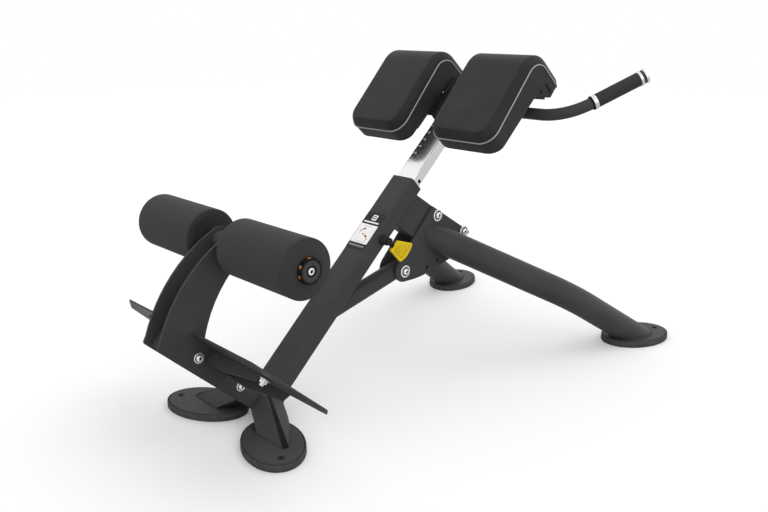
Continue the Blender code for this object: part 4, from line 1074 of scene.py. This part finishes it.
def placard():
    """Dark plate with pale panels and plain coloured marks."""
    low, high = PLACARD_LOW, PLACARD_HIGH
    wide, tall = high.x - low.x, high.z - low.z
    centre = low.z + 0.0480
    emblem = (0.0020, high.z - 0.0165)
    plate = prism(box_shape(0, (low.z + high.z) / 2, wide, tall, 0.002), low.y, high.y, "y")
    bevel(piece("placard_plate", plate, "ink", "placard"), 0.0002, 2)
    for name, outline, look, level in (
            ("panel", box_shape(0.0, centre, wide - 0.0030, 0.0590, 0.0012), "card", 1),
            ("bar", box_shape(0.0, high.z - 0.0318, wide - 0.0120, 0.0042, 0.0008), "card", 1),
            ("emblem", box_shape(*emblem, 0.0170, 0.0170, 0.0022), "card", 1),
            ("emblem_dot", disc_shape(*emblem, 0.0056), "ink", 2),
            ("emblem_core", disc_shape(*emblem, 0.0026), "card", 3),
            ("foot", box_shape(0.0, low.z + 0.0100, wide - 0.0100, 0.0050, 0.0010),
             "grey_ink", 1)):
        patch("placard_" + name, outline, look, level)
    for k, (x, a, long, thick, turn, look) in enumerate((
            (-0.0105, 0.0115, 0.0200, 0.0022, 0.45, "orange_ink"),
            (-0.0160, 0.0040, 0.0120, 0.0018, 1.15, "orange_ink"),
            (0.0120, -0.0085, 0.0190, 0.0022, -0.50, "orange_ink"),
            (0.0185, -0.0165, 0.0100, 0.0018, 1.20, "orange_ink"),
            (-0.0085, 0.0145, 0.0090, 0.0034, 0.45, "ink"),
            (0.0105, -0.0055, 0.0090, 0.0034, -0.50, "ink"),
            (-0.0020, -0.0015, 0.0060, 0.0046, 0.0, "red_ink"),
            (0.0, 0.0235, 0.0300, 0.0010, 0.0, "grey_ink"),
            (0.0, -0.0245, 0.0240, 0.0010, 0.0, "grey_ink"))):
        patch("placard_mark_%d" % k, box_shape(x, centre + a, long, thick, 0.0004, turn),
              look, 2)


def numeral(text, x, along):
    """Raised figure on the front face of the post."""
    curve = bpy.data.curves.new("figure", "FONT")
    curve.body = text
    curve.size = FIGURE_SIZE
    curve.extrude = 0.00008
    shape = new_object("figure", curve)
    mesh = bpy.data.meshes.new_from_object(
        shape.evaluated_get(bpy.context.evaluated_depsgraph_get()))
    bpy.data.objects.remove(shape)
    bm = bmesh.new()
    bm.from_mesh(mesh)
    for vertex in bm.verts:
        u, v, w = vertex.co
        vertex.co = (x + u, POST_LOW.y - 0.0001 + w, along + v)
    piece("post_figure_" + text, bm, "card", "post", replaces=False)


def scale():
    """Figures and short lines up the left of the post's front face."""
    for k in range(9):
        along = SCALE_START + SCALE_STEP * k
        numeral(str(9 - k), POST_LOW.x + 0.0110, along)
        tick = box_shape(POST_LOW.x + 0.0060, along + 0.0036, 0.0070, 0.0012, 0.0003)
        patch("post_tick_%d" % k, tick, "card", 1, "post", POST_LOW.y)


placard()


# Plate edges and small fittings

TUBE_OUT = extent("main_tube")[1].x
MARK_PROUD = 0.0003
MARK_SUNK = 0.0004


def toe_flange(side, sign):
    """Lip along the toe edge of the foot plate."""
    edge = ((0.0345, 0.0826), (0.0345, 0.0560), (0.0773, 0.0520), (0.1125, 0.0500),
            (0.1500, 0.0560), (0.2069, 0.0618), (0.2351, 0.0634), (0.2430, 0.0826))
    outline = [(sign * x, a) for x, a in edge]
    bevel(piece("toe_flange_" + side, prism(outline, -0.1700, -0.1662, "y"), "frame",
                "foot_plate", replaces=False), 0.0009, 2)


def arm_edge(side, sign):
    """Thicker foot of the arm plate, down to the toe flange."""
    outline = [(-0.2740, 0.0818), (-0.2560, 0.0708), (-0.2310, 0.0620), (-0.2010, 0.0558),
               (-0.1680, 0.0527), (-0.1330, 0.0522), (-0.0990, 0.0550), (-0.0989, 0.0570),
               (-0.1303, 0.0564), (-0.1605, 0.0576), (-0.1720, 0.0640), (-0.1860, 0.0818)]
    piece("arm_edge_" + side, prism(outline, *across(sign, 0.0267, 0.0323)), "frame",
          "arm_plate_" + side, replaces=False)


def screws_and_holes(side, sign):
    """Dark rings round two screws, and the dark mouths of two small holes: painted shade in the
    recesses.
    """
    plate = "bracket_plate_" + side
    ring = tube(PLATE_OUT - MARK_SUNK, PLATE_OUT + MARK_PROUD, 0.0030, 0.0050)
    for k, (back, along) in enumerate(((0.2241, 0.6557), (0.2045, 0.6177))):
        turned("screw_ring_%s_%d" % (side, k), ring, about_x((0, back, along), sign), 28,
               "dark", plate, replaces=False)
    for name, node, back, along, wide, base in (
            ("plate_hole_", plate, 0.1388, 0.6933, 0.0030, PLATE_OUT),
            ("tube_hole_", "main_tube", -0.0055, 0.5594, 0.0024, TUBE_OUT)):
        dot = [(base - MARK_SUNK, wide), (base + 0.0002, wide)]
        piece(name + side, lathe(dot, about_x((0, back, along), sign), 24), "dark", node,
              replaces=False)


def shell_slot_shades(side, sign):
    """Two dark slots in the outer side of a pad shell: thin dark prisms, painted shade of the
    gaps there, not cut into it.
    """
    for k, (first, last, thick) in enumerate((((-0.0313, 1.1060), (0.0012, 1.1060), 0.0056),
                                              ((-0.0297, 1.0825), (-0.0305, 1.0745), 0.0052))):
        a, b = Vector(first), Vector(last)
        out = Vector(((b - a).y, (a - b).x)).normalized() * thick / 2
        slot = round_off([(*p, thick * 0.45) for p in (a + out, b + out, b - out, a - out)], 4)
        piece("shell_slot_%s_%d" % (side, k),
              prism(slot, *across(sign, PAD_OUT - 0.0015, PAD_OUT + 0.0001)), "dark",
              "pad_board_" + side, replaces=False)


def leg_groove_shade(side, sign):
    """Dark strip down the inner face of a front leg: painted shade of a recessed channel, on a
    flat sheet.
    """
    low = STEEL_TOP + MARK_PROUD
    bm = bmesh.new()
    bm.faces.new([bm.verts.new((sign * (x + 0.0004), y + SHIFT_Y - 0.0004, z + 0.0007))
                  for x, y, z in ((0.0509, 0.0200, 0.0832), (0.0495, 0.0285, 0.0811),
                                  (0.1884, -0.0232, low), (0.1850, -0.0378, low))])
    bmesh.ops.solidify(bm, geom=bm.faces[:], thickness=0.0005)
    # The ink look on this strip stands for shade, not print.
    piece("leg_groove_shade_" + side, bm, "ink", "front_leg_" + side, LEVEL, replaces=False)


for side, sign in SIDES:
    toe_flange(side, sign)
    arm_edge(side, sign)
    screws_and_holes(side, sign)
    shell_slot_shades(side, sign)
    leg_groove_shade(side, sign)
scale()


# Studio

WORLD_LIGHT = 0.92
FLOOR_HALF = 9.0
LAMPS = (("key", (1.2, 1.6, 4.0), 50, 0.30), ("fill", (2.2, -0.9, 1.0), 60, 0.34))


def studio_world():
    """White where it is seen, a little dimmer where it lights."""
    world = bpy.data.worlds.new("studio")
    bpy.context.scene.world = world
    world.use_nodes = True
    nodes, links = world.node_tree.nodes, world.node_tree.links
    nodes.clear()
    out = nodes.new("ShaderNodeOutputWorld")
    mix = nodes.new("ShaderNodeMixShader")
    for slot, strength in ((1, WORLD_LIGHT), (2, 1.0)):
        sky = nodes.new("ShaderNodeBackground")
        sky.inputs["Color"].default_value = (1, 1, 1, 1)
        sky.inputs["Strength"].default_value = strength
        links.new(sky.outputs[0], mix.inputs[slot])
    path = nodes.new("ShaderNodeLightPath")
    seen = path.outputs["Is Camera Ray"]
    for ray in ("Is Glossy Ray", "Is Transmission Ray"):
        either = nodes.new("ShaderNodeMath")
        either.operation = "MAXIMUM"
        links.new(seen, either.inputs[0])
        links.new(path.outputs[ray], either.inputs[1])
        seen = either.outputs[0]
    links.new(seen, mix.inputs["Fac"])
    links.new(mix.outputs[0], out.inputs["Surface"])


def lamps():
    for name, spot, wide, power in LAMPS:
        light = bpy.data.lights.new(name, "SUN")
        light.angle = radians(wide)
        light.energy = power
        lamp = new_object(name, light)
        lamp.location = spot
        lamp.rotation_euler = (-Vector(spot)).to_track_quat("-Z", "Y").to_euler()


def studio_floor():
    """Pale floor, near white where it is seen, which keeps the shadow."""
    mesh = bpy.data.meshes.new("floor")
    mesh.from_pydata([(x * FLOOR_HALF, y * FLOOR_HALF, 0) for x, y in
                      ((-1, -1), (1, -1), (1, 1), (-1, 1))], [], [(0, 1, 2, 3)])
    floor = new_object("floor", mesh)
    look = Look("floor", (0.60, 0.60, 0.60), 0.75, shine=0.0)
    look.rough(look.noise(3.0), 0.70, 0.80)
    seen = look.node("ShaderNodeLightPath").outputs["Is Camera Ray"]
    look.tint(seen, (0.60, 0.60, 0.60), (0.93, 0.93, 0.93), 0.0, 1.0)
    look.set("Emission Color", (1, 1, 1, 1))
    look.link(look.spread(seen, 0.0, 0.10, 0.0, 1.0), look.shader.inputs["Emission Strength"])
    mesh.materials.append(look.mat)


def eye():
    """The photograph's camera."""
    camera = bpy.data.cameras.new("camera")
    camera.sensor_width = 36.0
    camera.lens = 37.23
    obj = new_object("camera", camera)
    obj.location = (1.48219, -1.48726, 0.94241)
    obj.rotation_euler = (radians(73.3723), 0, radians(46.1431))
    bpy.context.scene.camera = obj


bpy.context.scene.view_settings.view_transform = "Standard"
studio_world()
lamps()
studio_floor()
eye()
